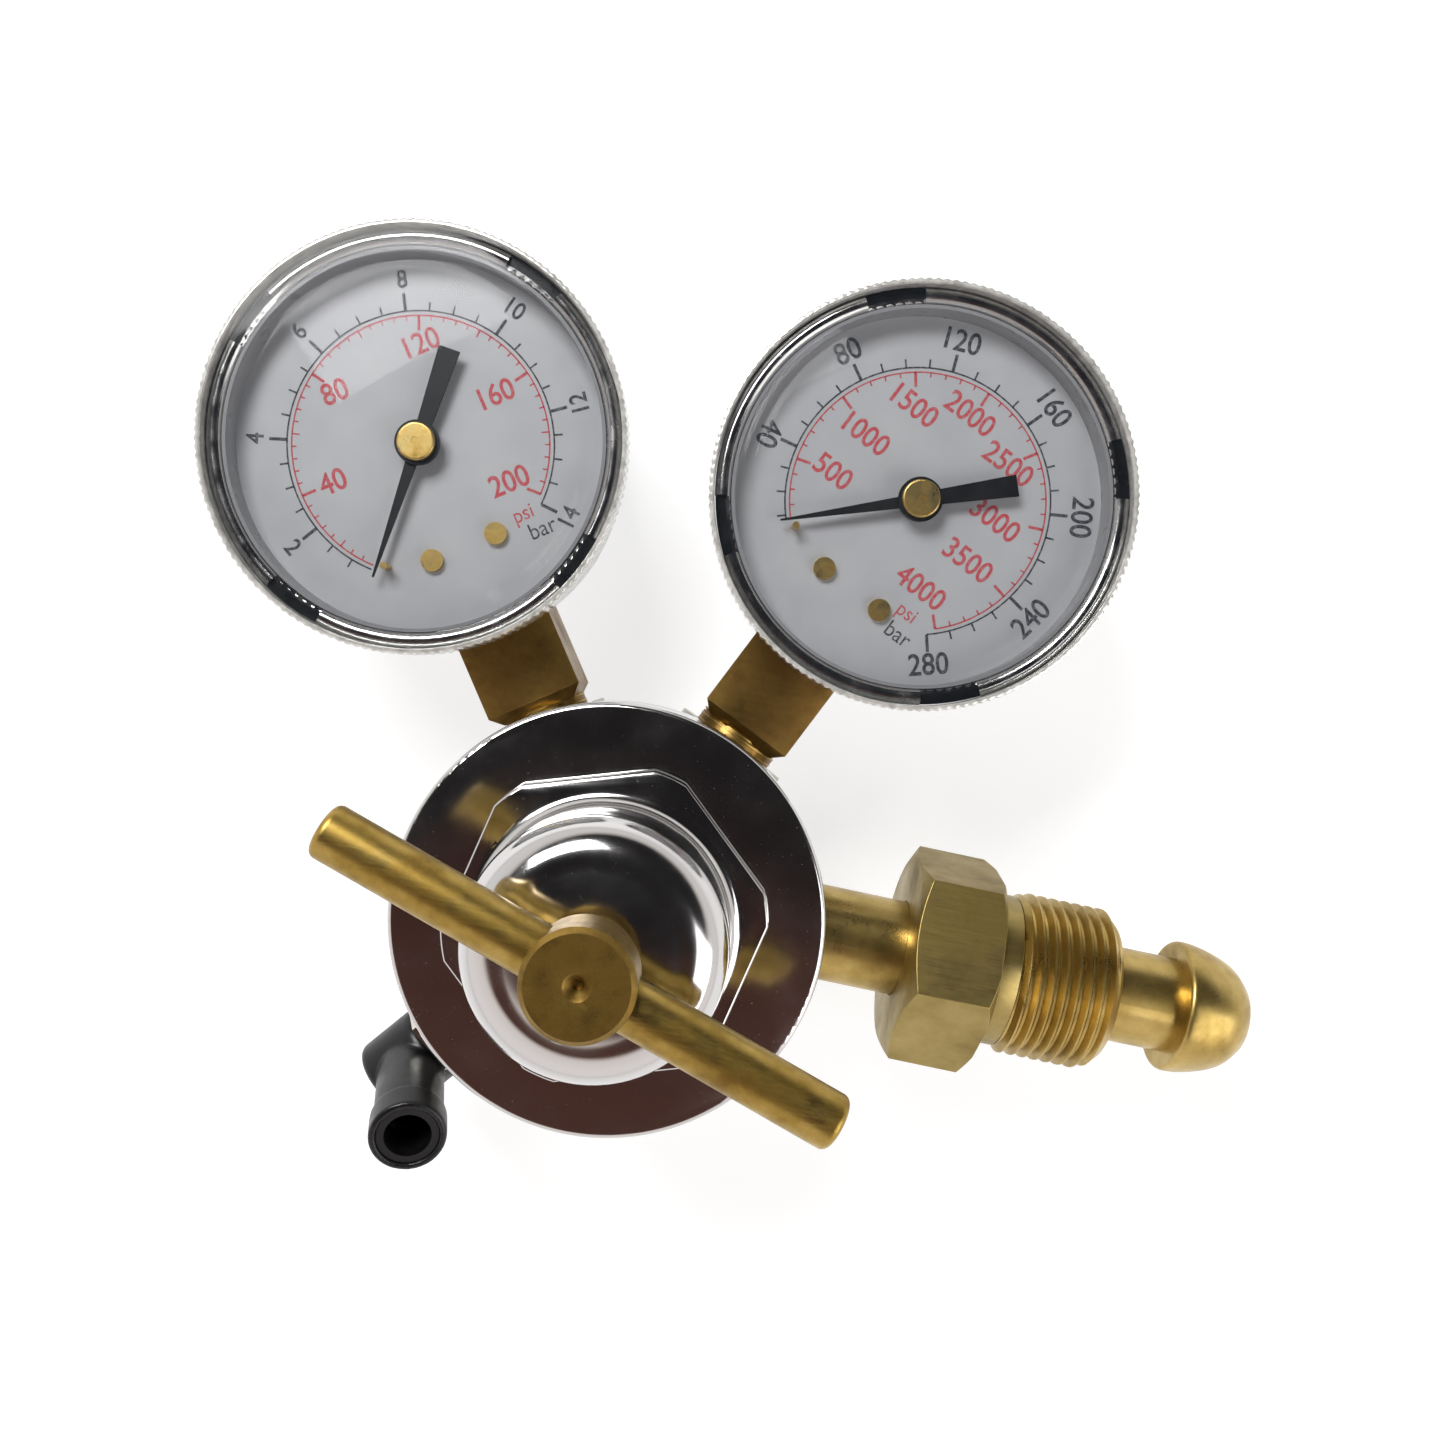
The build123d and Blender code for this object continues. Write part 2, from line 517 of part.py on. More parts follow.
with BuildPart() as elbow_seal:
    with BuildSketch(port_plane(OUTLET_ANGLE, STUD_HEX_END + SEAL_OFFSET)):
        Circle(STEM_R)
        Circle(STEM_R - SEAL_GROOVE, mode=Mode.SUBTRACT)
    extrude(amount=SEAL_GROOVE_W)
    fillet(elbow_seal.edges(), radius=SEAL_EDGE_R)
save(elbow_seal, "elbow_seal")

outward = cross_plane.z_dir
sideways = cross_plane.z_dir.cross(Vector(0, 0, 1)) * -1
tilt = math.radians(SOCKET_TILT)
socket_dir = Vector(0, 0, 1) * math.cos(tilt) + sideways * math.sin(tilt)


def socket_plane(distance):
    """Plane across the tube socket, at this distance from the port's axis."""
    return Plane(origin=cross_plane.origin + socket_dir * distance, x_dir=outward, z_dir=socket_dir)


with BuildPart() as elbow_body:
    with BuildSketch(port_plane(OUTLET_ANGLE, ELBOW_START)):
        Circle(ELBOW_LEG_R)
    extrude(amount=ELBOW_END - ELBOW_START)
    fillet(elbow_body.edges().filter_by(GeomType.CIRCLE), radius=ELBOW_EDGE_R)
    with BuildSketch(socket_plane(0)):
        Circle(SOCKET_R)
    extrude(amount=SOCKET_COLLAR_START)
    with BuildSketch(socket_plane(SOCKET_COLLAR_START)):
        Circle(SOCKET_COLLAR_R)
    extrude(amount=SOCKET_END - SOCKET_COLLAR_START)
    mouth = elbow_body.faces().filter_by(Plane(origin=(0, 0, 0), z_dir=socket_dir))
    fillet(mouth.sort_by(Axis((0, 0, 0), tuple(socket_dir)))[-1].edges(), radius=SOCKET_MOUTH_R)
    with BuildSketch(port_plane(OUTLET_ANGLE, ELBOW_START)):
        Circle(STEM_R + THREAD_GAP)
    extrude(amount=STEM_END - ELBOW_START + THREAD_RELIEF, mode=Mode.SUBTRACT)
    with BuildSketch(socket_plane(0)):
        Circle(GAS_R)
    extrude(amount=TUBE_STOP, mode=Mode.SUBTRACT)
    with BuildSketch(socket_plane(TUBE_STOP)):
        Circle(TUBE_R + TUBE_GAP)
    extrude(amount=TUBE_LAND, mode=Mode.SUBTRACT)
    with BuildSketch(socket_plane(TUBE_STOP + TUBE_LAND)):
        Circle(SOCKET_BORE_R)
    extrude(amount=SOCKET_END - TUBE_STOP - TUBE_LAND, mode=Mode.SUBTRACT)
save(elbow_body, "elbow_body")

seal_start = TUBE_STOP + TUBE_LAND
grab_start = seal_start + TUBE_SEAL_T + 2 * RUNNING_GAP
collet_start = grab_start + GRAB_T + COLLET_TRAVEL + 2 * RUNNING_GAP
with BuildPart() as tube_seal:
    with BuildSketch(socket_plane(seal_start)):
        Circle(SOCKET_BORE_R)
        Circle(TUBE_R + TUBE_GAP, mode=Mode.SUBTRACT)
    extrude(amount=TUBE_SEAL_T)
save(tube_seal, "tube_seal")

with BuildPart() as grab_ring:
    with BuildSketch(socket_plane(grab_start)):
        Circle(SOCKET_BORE_R)
        Circle(TUBE_R + 2 * TUBE_GAP, mode=Mode.SUBTRACT)
        with PolarLocations(TUBE_R + GRAB_SLOT / 2, GRAB_TEETH):
            Rectangle(GRAB_SLOT, GRAB_SLOT, mode=Mode.SUBTRACT)
    extrude(amount=GRAB_T)
save(grab_ring, "grab_ring")

with BuildPart() as release_collet:
    with BuildSketch(socket_plane(collet_start)):
        Circle(SOCKET_BORE_R - RUNNING_GAP)
        Circle(TUBE_R + TUBE_GAP, mode=Mode.SUBTRACT)
    extrude(amount=SOCKET_END - COLLET_SINK - collet_start)
save(release_collet, "release_collet")


# ---------------------------------------------------------------- gauges
def arc_band(inner_r, outer_r, start, end):
    """Flat ring segment; angles in degrees clockwise from the dial's top."""
    middle = (start + end) / 2
    with BuildLine() as band:
        ThreePointArc(polar(outer_r, start), polar(outer_r, middle), polar(outer_r, end))
        Line(polar(outer_r, end), polar(inner_r, end))
        ThreePointArc(polar(inner_r, end), polar(inner_r, middle), polar(inner_r, start))
        Line(polar(inner_r, start), polar(outer_r, start))
    make_face(band.edges())


DEDENDUM, ADDENDUM = 1.15 * GEAR_MODULE, 0.75 * GEAR_MODULE
ROOT_HALF_W, TIP_LAND, ROOT_OVERLAP = 0.78 * GEAR_MODULE, 0.32 * GEAR_MODULE, 0.1


def tooth(pitch_radius, pointing):
    """One trapezoid gear tooth on this pitch radius, pointing at this counter-clockwise angle."""
    root, tip = pitch_radius - DEDENDUM, pitch_radius + ADDENDUM
    turned = math.radians(pointing)
    corners = [(root - ROOT_OVERLAP, -ROOT_HALF_W), (root, -ROOT_HALF_W), (tip, -TIP_LAND)]
    corners += [(x, -y) for x, y in reversed(corners)]
    points = [
        (
            x * math.cos(turned) - y * math.sin(turned),
            x * math.sin(turned) + y * math.cos(turned),
        )
        for x, y in corners
    ]
    with BuildLine() as outline:
        Polyline(*points, close=True)
    make_face(outline.edges())


PINION_PITCH_R = GEAR_MODULE / 2 * PINION_TEETH
SECTOR_PITCH_R = GEAR_MODULE / 2 * SECTOR_FULL_TEETH
PIVOT_ANGLE = 135
PIVOT_XY = polar(PINION_PITCH_R + SECTOR_PITCH_R, PIVOT_ANGLE)
SECTOR_STEP = 360 / SECTOR_FULL_TEETH
TAIL_LEN, TAIL_HALF_W = 5.0, 0.9
TAIL_XY = polar(PINION_PITCH_R + SECTOR_PITCH_R + TAIL_LEN, PIVOT_ANGLE)
LINK_PIN_R, LINK_END = 0.4, polar(TUBE_IN_R + 1.04, 110.6)
PLATE_BACK_Z, PLATE_FRONT_Z, MOVEMENT_T = -2.5, 4.4, 0.8
SECTOR_Z = 1.4
LINK_Z, LINK_T = SECTOR_Z + SECTOR_THICK + SHOULDER_GAP, 0.5
HAIR_Z, HAIR_W, HAIR_T, HAIR_TURNS, HAIR_STEP, HAIR_GAP = 3.3, 0.6, 0.14, 3, 0.55, 0.7
PILLARS = ((-3.8, -11.6), (3.8, -11.6), (4.5, 5.5))
PILLAR_R, STEM_PIN_R, PIN_DEPTH, PILLAR_NUT_R, PILLAR_NUT_H = 1.0, 0.6, 2.0, 1.2, 0.8
PLATE_LOBE_R, PLATE_CENTRE_R = 1.3, 2.4
TONGUE_HALF_W, TONGUE_TOP = 5.0, -5.0
HALF_STEM = STEM_FLATS / 2
DIAL_Z = HALF_STEM + DIAL_LAND_H
DIAL_TOP = DIAL_Z + DIAL_T
POINTER_Z = DIAL_TOP + POINTER_LIFT
HUB_Z = POINTER_Z + 1.0
HUB_TOP = HUB_Z + HUB_T
BUSH_R = ARBOR_R + BUSH_WALL
CASE_BACK_Z = -HALF_STEM - CASE_T
TUBE_BACK_Z = -6.4


def gauge(name, angle, reach, zero_angle, notch_turn):
    """Every piece of one gauge; its plane has +Y away from the body and +Z out of the dial."""
    out = port_plane(angle, reach)
    face = Plane(origin=out.origin, x_dir=out.z_dir.cross(Vector(0, 0, 1)), z_dir=(0, 0, 1))
    stem_low, thread_low = STEM_START - reach, SHANK_START - reach

    def stem_plane(y):
        """Plane across the stem, facing out from the body, at this height on the dial."""
        return Plane(origin=face.origin + face.y_dir * y, x_dir=face.x_dir, z_dir=face.y_dir)

    with BuildPart() as socket:
        with BuildSketch(stem_plane(stem_low)):
            Rectangle(STEM_FLATS, STEM_FLATS)
        extrude(amount=STEM_TOP - stem_low)
        low_end = socket.faces().sort_by(Axis(tuple(face.origin), tuple(face.y_dir)))[0]
        chamfer(low_end.edges(), length=STEM_CHAMFER)
        with BuildSketch(stem_plane(thread_low)):
            Circle(PORT_THREAD_R)
        extrude(amount=stem_low - thread_low)
        with BuildSketch(face.offset(-HALF_STEM)):
            with Locations((0, (STEM_TOP + TONGUE_TOP) / 2)):
                Rectangle(2 * TONGUE_HALF_W, TONGUE_TOP - STEM_TOP)
        extrude(amount=PLATE_BACK_Z + HALF_STEM)
        with BuildSketch(stem_plane(thread_low)):
            Circle(GAS_R)
        extrude(amount=-TUBE_IN_R - thread_low, mode=Mode.SUBTRACT)
        with BuildSketch(face.offset(HALF_STEM)):
            with Locations((0, STEM_TOP - DIAL_LAND_LEN / 2)):
                Rectangle(STEM_FLATS, DIAL_LAND_LEN)
        extrude(amount=DIAL_LAND_H)
        tube_mid_z = TUBE_BACK_Z + TUBE_FLAT / 2
        side = Plane(origin=face.origin, x_dir=face.y_dir, z_dir=face.x_dir * -1)
        with BuildSketch(side):
            with Locations((-TUBE_IN_R, tube_mid_z)):
                Circle(TUBE_PORT_R)
        extrude(amount=STEM_FLATS, mode=Mode.SUBTRACT)
        with BuildSketch(face.offset(PLATE_BACK_Z)):
            with Locations(*PILLARS[:2]):
                Circle(STEM_PIN_R)
        extrude(amount=-PIN_DEPTH, mode=Mode.SUBTRACT)
        with BuildSketch(face.offset(DIAL_Z)):
            for turn in (-DIAL_SCREW_ANGLE, DIAL_SCREW_ANGLE):
                with Locations(polar(DIAL_SCREW_RADIUS, 180 + turn)):
                    Circle(SCREW_SHANK_R)
        extrude(amount=-SCREW_LEN - SCREW_ROOM, mode=Mode.SUBTRACT)
        with BuildSketch(face.offset(-HALF_STEM)):
            with Locations(*CASE_SCREWS):
                Circle(SCREW_SHANK_R)
        extrude(amount=SCREW_LEN + SCREW_ROOM, mode=Mode.SUBTRACT)
    save(socket, f"{name}_socket")

    with BuildPart() as case:
        with BuildSketch(face.offset(CASE_BACK_Z)):
            Circle(CASE_R)
        extrude(amount=CASE_T)
        fillet(case.edges().group_by(Axis.Z)[0], radius=CASE_T * 0.9)
        with BuildSketch(face.offset(CASE_BACK_Z + CASE_T)):
            Circle(CASE_R)
            Circle(CASE_R - CASE_T, mode=Mode.SUBTRACT)
        extrude(amount=RIM_Z + RIM_T - CASE_BACK_Z - CASE_T)
        with BuildSketch(face.offset(RIM_Z)):
            Circle(RIM_R)
            Circle(RIM_IN_R, mode=Mode.SUBTRACT)
        extrude(amount=RIM_T)
        with BuildSketch(face.offset(RIM_Z)):
            for notch in range(4):
                middle = notch_turn + 90 * notch
                arc_band(CASE_R, LENS_R, middle - NOTCH_HALF_ANGLE, middle + NOTCH_HALF_ANGLE)
        extrude(amount=RIM_T, mode=Mode.SUBTRACT)
        with BuildSketch(stem_plane(-LENS_R)):
            Rectangle(STEM_FLATS, STEM_FLATS)
        extrude(amount=DIAL_LAND_LEN, mode=Mode.SUBTRACT)
        with BuildSketch(face.offset(CASE_BACK_Z)):
            with Locations(*CASE_SCREWS):
                Circle(SCREW_SHANK_R)
        extrude(amount=CASE_T, mode=Mode.SUBTRACT)
    save(case, f"{name}_case")

    with BuildPart() as lens:
        with BuildSketch(face.offset(LENS_FACE - LENS_T)):
            Circle(LENS_R)
        extrude(amount=LENS_T)
        fillet(lens.edges().group_by(Axis.Z)[-1], radius=LENS_EDGE_R)
        with BuildSketch(face.offset(LENS_FACE - LENS_SKIRT)):
            Circle(LENS_R)
            Circle(LENS_R - LENS_WALL, mode=Mode.SUBTRACT)
        extrude(amount=LENS_SKIRT - LENS_T)
        with BuildSketch(face.offset(LENS_FACE)):
            Circle(WINDOW_R)
        extrude(amount=WINDOW_RISE, taper=WINDOW_TAPER)
        fillet(lens.edges().group_by(Axis.Z)[-1], radius=WINDOW_EDGE_R)
        with BuildSketch(face.offset(LENS_FACE - LENS_SKIRT)):
            for lug in range(4):
                start = notch_turn + 90 * lug + LUG_START
                arc_band(CASE_R + LUG_GAP, LENS_R - LENS_WALL / 2, start, start + LUG_SPAN)
        extrude(amount=LENS_T)
    save(lens, f"{name}_lens")

    with BuildPart() as lens_seal:
        with BuildSketch(face.offset(RIM_Z - SEAL_T)):
            Circle(RIM_R - RUNNING_GAP)
            Circle(CASE_R, mode=Mode.SUBTRACT)
        extrude(amount=SEAL_T)
    save(lens_seal, f"{name}_lens_seal")

    with BuildPart() as dial_ring:
        with BuildSketch(face.offset(DIAL_TOP)):
            Circle(CASE_R - CASE_T)
            Circle(DIAL_R, mode=Mode.SUBTRACT)
        extrude(amount=RIM_Z - DIAL_TOP)
    save(dial_ring, f"{name}_dial_ring")

    stop_at = polar(STOP_RADIUS, zero_angle - STOP_LEAD)
    with BuildPart() as dial:
        with BuildSketch(face.offset(DIAL_Z)):
            Circle(CASE_R - CASE_T)
            Circle(DIAL_HOLE_R, mode=Mode.SUBTRACT)
            with Locations(stop_at):
                Circle(STOP_PIN_R, mode=Mode.SUBTRACT)
            for turn in (-DIAL_SCREW_ANGLE, DIAL_SCREW_ANGLE):
                with Locations(polar(DIAL_SCREW_RADIUS, 180 + turn)):
                    Circle(SCREW_SHANK_R, mode=Mode.SUBTRACT)
        extrude(amount=DIAL_T)
    save(dial, f"{name}_dial")

    with BuildPart() as stop_pin:
        with BuildSketch(face.offset(DIAL_Z)):
            with Locations(stop_at):
                Circle(STOP_PIN_R)
        extrude(amount=POINTER_Z - DIAL_Z + STOP_RISE)
    save(stop_pin, f"{name}_stop_pin")

    with BuildPart() as pointer:
        with BuildSketch(face.offset(POINTER_Z)):
            tip, tail = polar(POINTER_TIP, zero_angle), polar(POINTER_TAIL, zero_angle + 180)
            side_x, side_y = polar(1.0, zero_angle + 90)
            with BuildLine():
                half_widths = ((tip, TIP_HALF_W), ((0, 0), WAIST_HALF_W), (tail, TAIL_END_HALF_W))
                right = [(x + side_x * half, y + side_y * half) for (x, y), half in half_widths]
                left = [(x - side_x * half, y - side_y * half) for (x, y), half in half_widths]
                Polyline(*right, *reversed(left), close=True)
            make_face()
            Circle(POINTER_RING_R)
            Circle(BUSH_R, mode=Mode.SUBTRACT)
        extrude(amount=POINTER_T)
        with BuildSketch(face.offset(POINTER_Z)):
            Circle(POINTER_RING_R)
            Circle(BUSH_R, mode=Mode.SUBTRACT)
        extrude(amount=HUB_Z - POINTER_Z)
    save(pointer, f"{name}_pointer")

    with BuildPart() as pointer_hub:
        with BuildSketch(face.offset(POINTER_Z - BUSH_DROP)):
            Circle(BUSH_R)
        extrude(amount=HUB_Z - POINTER_Z + BUSH_DROP)
        with BuildSketch(face.offset(HUB_Z)):
            Circle(HUB_R)
        extrude(amount=HUB_TOP - HUB_Z)
        fillet(pointer_hub.edges().group_by(Axis.Z)[-1], radius=HUB_EDGE_R)
        with BuildSketch(face.offset(POINTER_Z - BUSH_DROP)):
            Circle(ARBOR_R)
        extrude(amount=HUB_TOP - POINTER_Z + BUSH_DROP, mode=Mode.SUBTRACT)
    save(pointer_hub, f"{name}_pointer_hub")

    with BuildPart() as pinion_arbor:
        with BuildSketch(face.offset(PLATE_BACK_Z)):
            Circle(PIVOT_R)
        extrude(amount=MOVEMENT_T + PIVOT_R)
        with BuildSketch(face.offset(PLATE_BACK_Z + MOVEMENT_T + SHOULDER_GAP)):
            Circle(ARBOR_R)
        extrude(amount=HUB_TOP - PLATE_BACK_Z - MOVEMENT_T - 2 * SHOULDER_GAP)
        with BuildSketch(face.offset(SECTOR_Z - PINION_DROP)):
            Circle(PINION_PITCH_R - DEDENDUM)
            for number in range(PINION_TEETH):
                tooth(PINION_PITCH_R, 90 - PIVOT_ANGLE + 360 / PINION_TEETH * number)
        extrude(amount=PINION_THICK)
    save(pinion_arbor, f"{name}_pinion_arbor")

    pivot_plane = Plane(
        origin=face.origin + face.x_dir * PIVOT_XY[0] + face.y_dir * PIVOT_XY[1],
        x_dir=face.x_dir,
        z_dir=(0, 0, 1),
    )
    with BuildPart() as sector_gear:
        first = 270 - PIVOT_ANGLE + SECTOR_STEP / 2
        teeth_at = [first - SECTOR_STEP * number for number in range(SECTOR_TEETH)]
        root_r = SECTOR_PITCH_R - DEDENDUM
        low_a, high_a = teeth_at[-1] - SECTOR_EDGE, teeth_at[0] + SECTOR_EDGE
        tail_at = polar(TAIL_LEN, PIVOT_ANGLE)
        with BuildSketch(pivot_plane.offset(SECTOR_Z)):
            with BuildLine():
                low, high = polar(root_r, 90 - low_a), polar(root_r, 90 - high_a)
                RadiusArc(low, high, -root_r)
                Line(high, (0, 0))
                Line((0, 0), low)
            make_face()
            for pointing in teeth_at:
                tooth(SECTOR_PITCH_R, pointing)
            Circle(SECTOR_HUB_R)
            with Locations((tail_at[0] / 2, tail_at[1] / 2)):
                Rectangle(TAIL_LEN, 2 * TAIL_HALF_W, rotation=90 - PIVOT_ANGLE)
            with Locations(tail_at):
                Circle(TAIL_HALF_W)
        extrude(amount=SECTOR_THICK)
        with BuildSketch(pivot_plane.offset(PLATE_BACK_Z)):
            Circle(PIVOT_R)
        extrude(amount=PLATE_FRONT_Z + MOVEMENT_T - PLATE_BACK_Z)
        with BuildSketch(pivot_plane.offset(PLATE_BACK_Z + MOVEMENT_T + SHOULDER_GAP)):
            Circle(SECTOR_ARBOR_R)
        extrude(amount=PLATE_FRONT_Z - PLATE_BACK_Z - MOVEMENT_T - 2 * SHOULDER_GAP)
        with BuildSketch(face.offset(SECTOR_Z)):
            with Locations(TAIL_XY):
                Circle(LINK_PIN_R)
        extrude(amount=LINK_Z + LINK_T - SECTOR_Z)
    save(sector_gear, f"{name}_sector_gear")

    with BuildPart() as link:
        with BuildSketch(face.offset(LINK_Z)):
            with Locations(TAIL_XY, LINK_END):
                Circle(TAIL_HALF_W)
            make_hull()
            with Locations(TAIL_XY):
                Circle(LINK_PIN_R + PIVOT_GAP, mode=Mode.SUBTRACT)
            with Locations(LINK_END):
                Circle(LINK_PIN_R, mode=Mode.SUBTRACT)
        extrude(amount=LINK_T)
    save(link, f"{name}_link")

    with BuildPart() as bourdon_tube:
        with BuildSketch(face.offset(TUBE_BACK_Z)):
            arc_band(TUBE_IN_R, TUBE_OUT_R, TUBE_FIXED, TUBE_FREE)
            with Locations((0, -TUBE_OUT_R)):
                Rectangle(STEM_FLATS, TUBE_OUT_R, mode=Mode.SUBTRACT)
        extrude(amount=TUBE_FLAT)
        with BuildSketch(face.offset(TUBE_BACK_Z + TUBE_WALL)):
            bore_in, bore_out = TUBE_IN_R + TUBE_WALL, TUBE_OUT_R - TUBE_WALL
            arc_band(bore_in, bore_out, TUBE_FIXED - TUBE_WALL, TUBE_FREE - TUBE_PLUG)
        extrude(amount=TUBE_FLAT - 2 * TUBE_WALL, mode=Mode.SUBTRACT)
        with BuildSketch(face.offset(TUBE_BACK_Z + TUBE_FLAT)):
            arc_band(TUBE_IN_R, TUBE_OUT_R, TUBE_FREE - TUBE_PLUG, TUBE_FREE + TUBE_PLUG)
        extrude(amount=LINK_Z - SHOULDER_GAP - TUBE_BACK_Z - TUBE_FLAT)
        with BuildSketch(face.offset(TUBE_BACK_Z)):
            arc_band(TUBE_IN_R, TUBE_OUT_R, TUBE_FREE, TUBE_FREE + TUBE_PLUG)
        extrude(amount=LINK_Z - SHOULDER_GAP - TUBE_BACK_Z)
    save(bourdon_tube, f"{name}_bourdon_tube")

    with BuildPart() as hairspring:
        with BuildSketch(face.offset(HAIR_Z)):
            with BuildLine() as spiral:
                start_r = ARBOR_R + HAIR_GAP
                for half in range(2 * HAIR_TURNS):
                    shift = 0 if half % 2 == 0 else -HAIR_STEP
                    CenterArc((shift, 0), start_r + HAIR_STEP * half, 180 * half, 180)
            trace(line_width=HAIR_T)
        extrude(amount=HAIR_W)
    save(hairspring, f"{name}_hairspring")

    for plate_name, low_z in (("back_plate", PLATE_BACK_Z), ("front_plate", PLATE_FRONT_Z)):
        with BuildPart() as movement_plate:
            with BuildSketch(face.offset(low_z)):
                with Locations(*PILLARS, PIVOT_XY):
                    Circle(PLATE_LOBE_R)
                Circle(PLATE_CENTRE_R)
                make_hull()
                with Locations(*PILLARS):
                    Circle(STEM_PIN_R, mode=Mode.SUBTRACT)
                with Locations(PIVOT_XY):
                    Circle(PIVOT_R + PIVOT_GAP, mode=Mode.SUBTRACT)
                arbor_hole = PIVOT_R if plate_name == "back_plate" else ARBOR_R
                Circle(arbor_hole + PIVOT_GAP, mode=Mode.SUBTRACT)
            extrude(amount=MOVEMENT_T)
        save(movement_plate, f"{name}_{plate_name}")

    with BuildPart() as pillars:
        with BuildSketch(face.offset(PLATE_BACK_Z + MOVEMENT_T)):
            with Locations(*PILLARS):
                Circle(PILLAR_R)
        extrude(amount=PLATE_FRONT_Z - PLATE_BACK_Z - MOVEMENT_T)
        for spot, depth in zip(PILLARS, (PIN_DEPTH, PIN_DEPTH, 0)):
            with BuildSketch(face.offset(PLATE_BACK_Z - depth)):
                with Locations(spot):
                    Circle(STEM_PIN_R)
            extrude(amount=MOVEMENT_T + depth)
        with BuildSketch(face.offset(PLATE_FRONT_Z)):
            with Locations(*PILLARS):
                Circle(STEM_PIN_R)
        extrude(amount=MOVEMENT_T)
        with BuildSketch(face.offset(PLATE_FRONT_Z + MOVEMENT_T)):
            with Locations(*PILLARS):
                Circle(PILLAR_NUT_R)
        extrude(amount=PILLAR_NUT_H)
    save(pillars, f"{name}_movement_pillars")
    return face


delivery_face = gauge("delivery", DELIVERY_ANGLE, DELIVERY_REACH, DELIVERY_ZERO, DELIVERY_NOTCH)
cylinder_face = gauge("cylinder", CYLINDER_ANGLE, CYLINDER_REACH, CYLINDER_ZERO, CYLINDER_NOTCH)

with BuildPart() as gauge_dial_screws:
    spots = [polar(DIAL_SCREW_RADIUS, 180 + turn) for turn in (-DIAL_SCREW_ANGLE, DIAL_SCREW_ANGLE)]
    for face in (delivery_face, cylinder_face):
        with BuildSketch(face.offset(DIAL_Z - SCREW_LEN)):
            with Locations(*spots):
                Circle(SCREW_SHANK_R)
        extrude(amount=SCREW_LEN + DIAL_T)
        with BuildSketch(face.offset(DIAL_TOP)):
            with Locations(*spots):
                Circle(SCREW_HEAD_R)
        extrude(amount=DIAL_SCREW_HEAD)
save(gauge_dial_screws, "gauge_dial_screws")

with BuildPart() as gauge_case_screws:
    for face in (delivery_face, cylinder_face):
        with BuildSketch(face.offset(CASE_BACK_Z)):
            with Locations(*CASE_SCREWS):
                Circle(SCREW_SHANK_R)
        extrude(amount=CASE_T + SCREW_LEN)
        with BuildSketch(face.offset(CASE_BACK_Z - CASE_SCREW_HEAD)):
            with Locations(*CASE_SCREWS):
                Circle(SCREW_HEAD_R)
        extrude(amount=CASE_SCREW_HEAD)
save(gauge_case_screws, "gauge_case_screws")
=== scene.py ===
"""Looks for a two-gauge gas pressure regulator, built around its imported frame."""

import json
import math

import bmesh
import bpy
from mathutils import Matrix, Vector


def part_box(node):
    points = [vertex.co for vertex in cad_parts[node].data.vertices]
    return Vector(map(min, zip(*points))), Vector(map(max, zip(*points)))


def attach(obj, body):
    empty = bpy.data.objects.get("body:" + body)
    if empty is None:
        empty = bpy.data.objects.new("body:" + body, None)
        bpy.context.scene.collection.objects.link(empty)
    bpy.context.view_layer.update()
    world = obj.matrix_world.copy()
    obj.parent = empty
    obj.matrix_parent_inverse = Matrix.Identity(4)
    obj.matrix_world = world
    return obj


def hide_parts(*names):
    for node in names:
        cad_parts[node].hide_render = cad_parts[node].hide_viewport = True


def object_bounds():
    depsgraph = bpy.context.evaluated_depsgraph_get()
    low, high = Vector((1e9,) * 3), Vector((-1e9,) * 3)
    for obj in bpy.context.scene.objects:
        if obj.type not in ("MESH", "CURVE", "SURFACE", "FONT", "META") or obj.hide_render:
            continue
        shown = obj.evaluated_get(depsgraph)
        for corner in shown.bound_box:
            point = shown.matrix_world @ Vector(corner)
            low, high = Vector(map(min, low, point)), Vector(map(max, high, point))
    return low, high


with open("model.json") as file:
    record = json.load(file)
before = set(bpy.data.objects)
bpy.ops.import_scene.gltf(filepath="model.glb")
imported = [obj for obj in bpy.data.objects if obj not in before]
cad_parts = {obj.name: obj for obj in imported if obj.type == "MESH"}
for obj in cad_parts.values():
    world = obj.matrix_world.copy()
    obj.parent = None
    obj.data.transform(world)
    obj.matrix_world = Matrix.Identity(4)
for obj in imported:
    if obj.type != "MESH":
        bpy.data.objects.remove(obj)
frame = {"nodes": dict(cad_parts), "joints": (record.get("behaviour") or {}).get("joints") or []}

bl_info = {
    "name": "Gas Regulator Looks",
    "version": (1, 0, 0),
    "blender": (4, 5, 0),
    "location": "View3D > Sidebar > Regulator",
    "description": "Finishes a two-gauge gas regulator and sets it on a pale stage",
    "category": "Object",
}

CAD_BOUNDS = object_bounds()
MM = 0.001
DOUBLE_GAP, CAD_MERGE_GAP = 1e-7, 1e-6
FLAT_ANGLE = math.radians(0.4)
NODES = frame["nodes"]
JOINTS = {joint["name"]: joint for joint in frame["joints"]}


# ---------------------------------------------------------------- places read from the frame
PORT_Z = JOINTS["elbow_swivel"]["pos_m"][2]
UP = Vector((0, 0, 1))


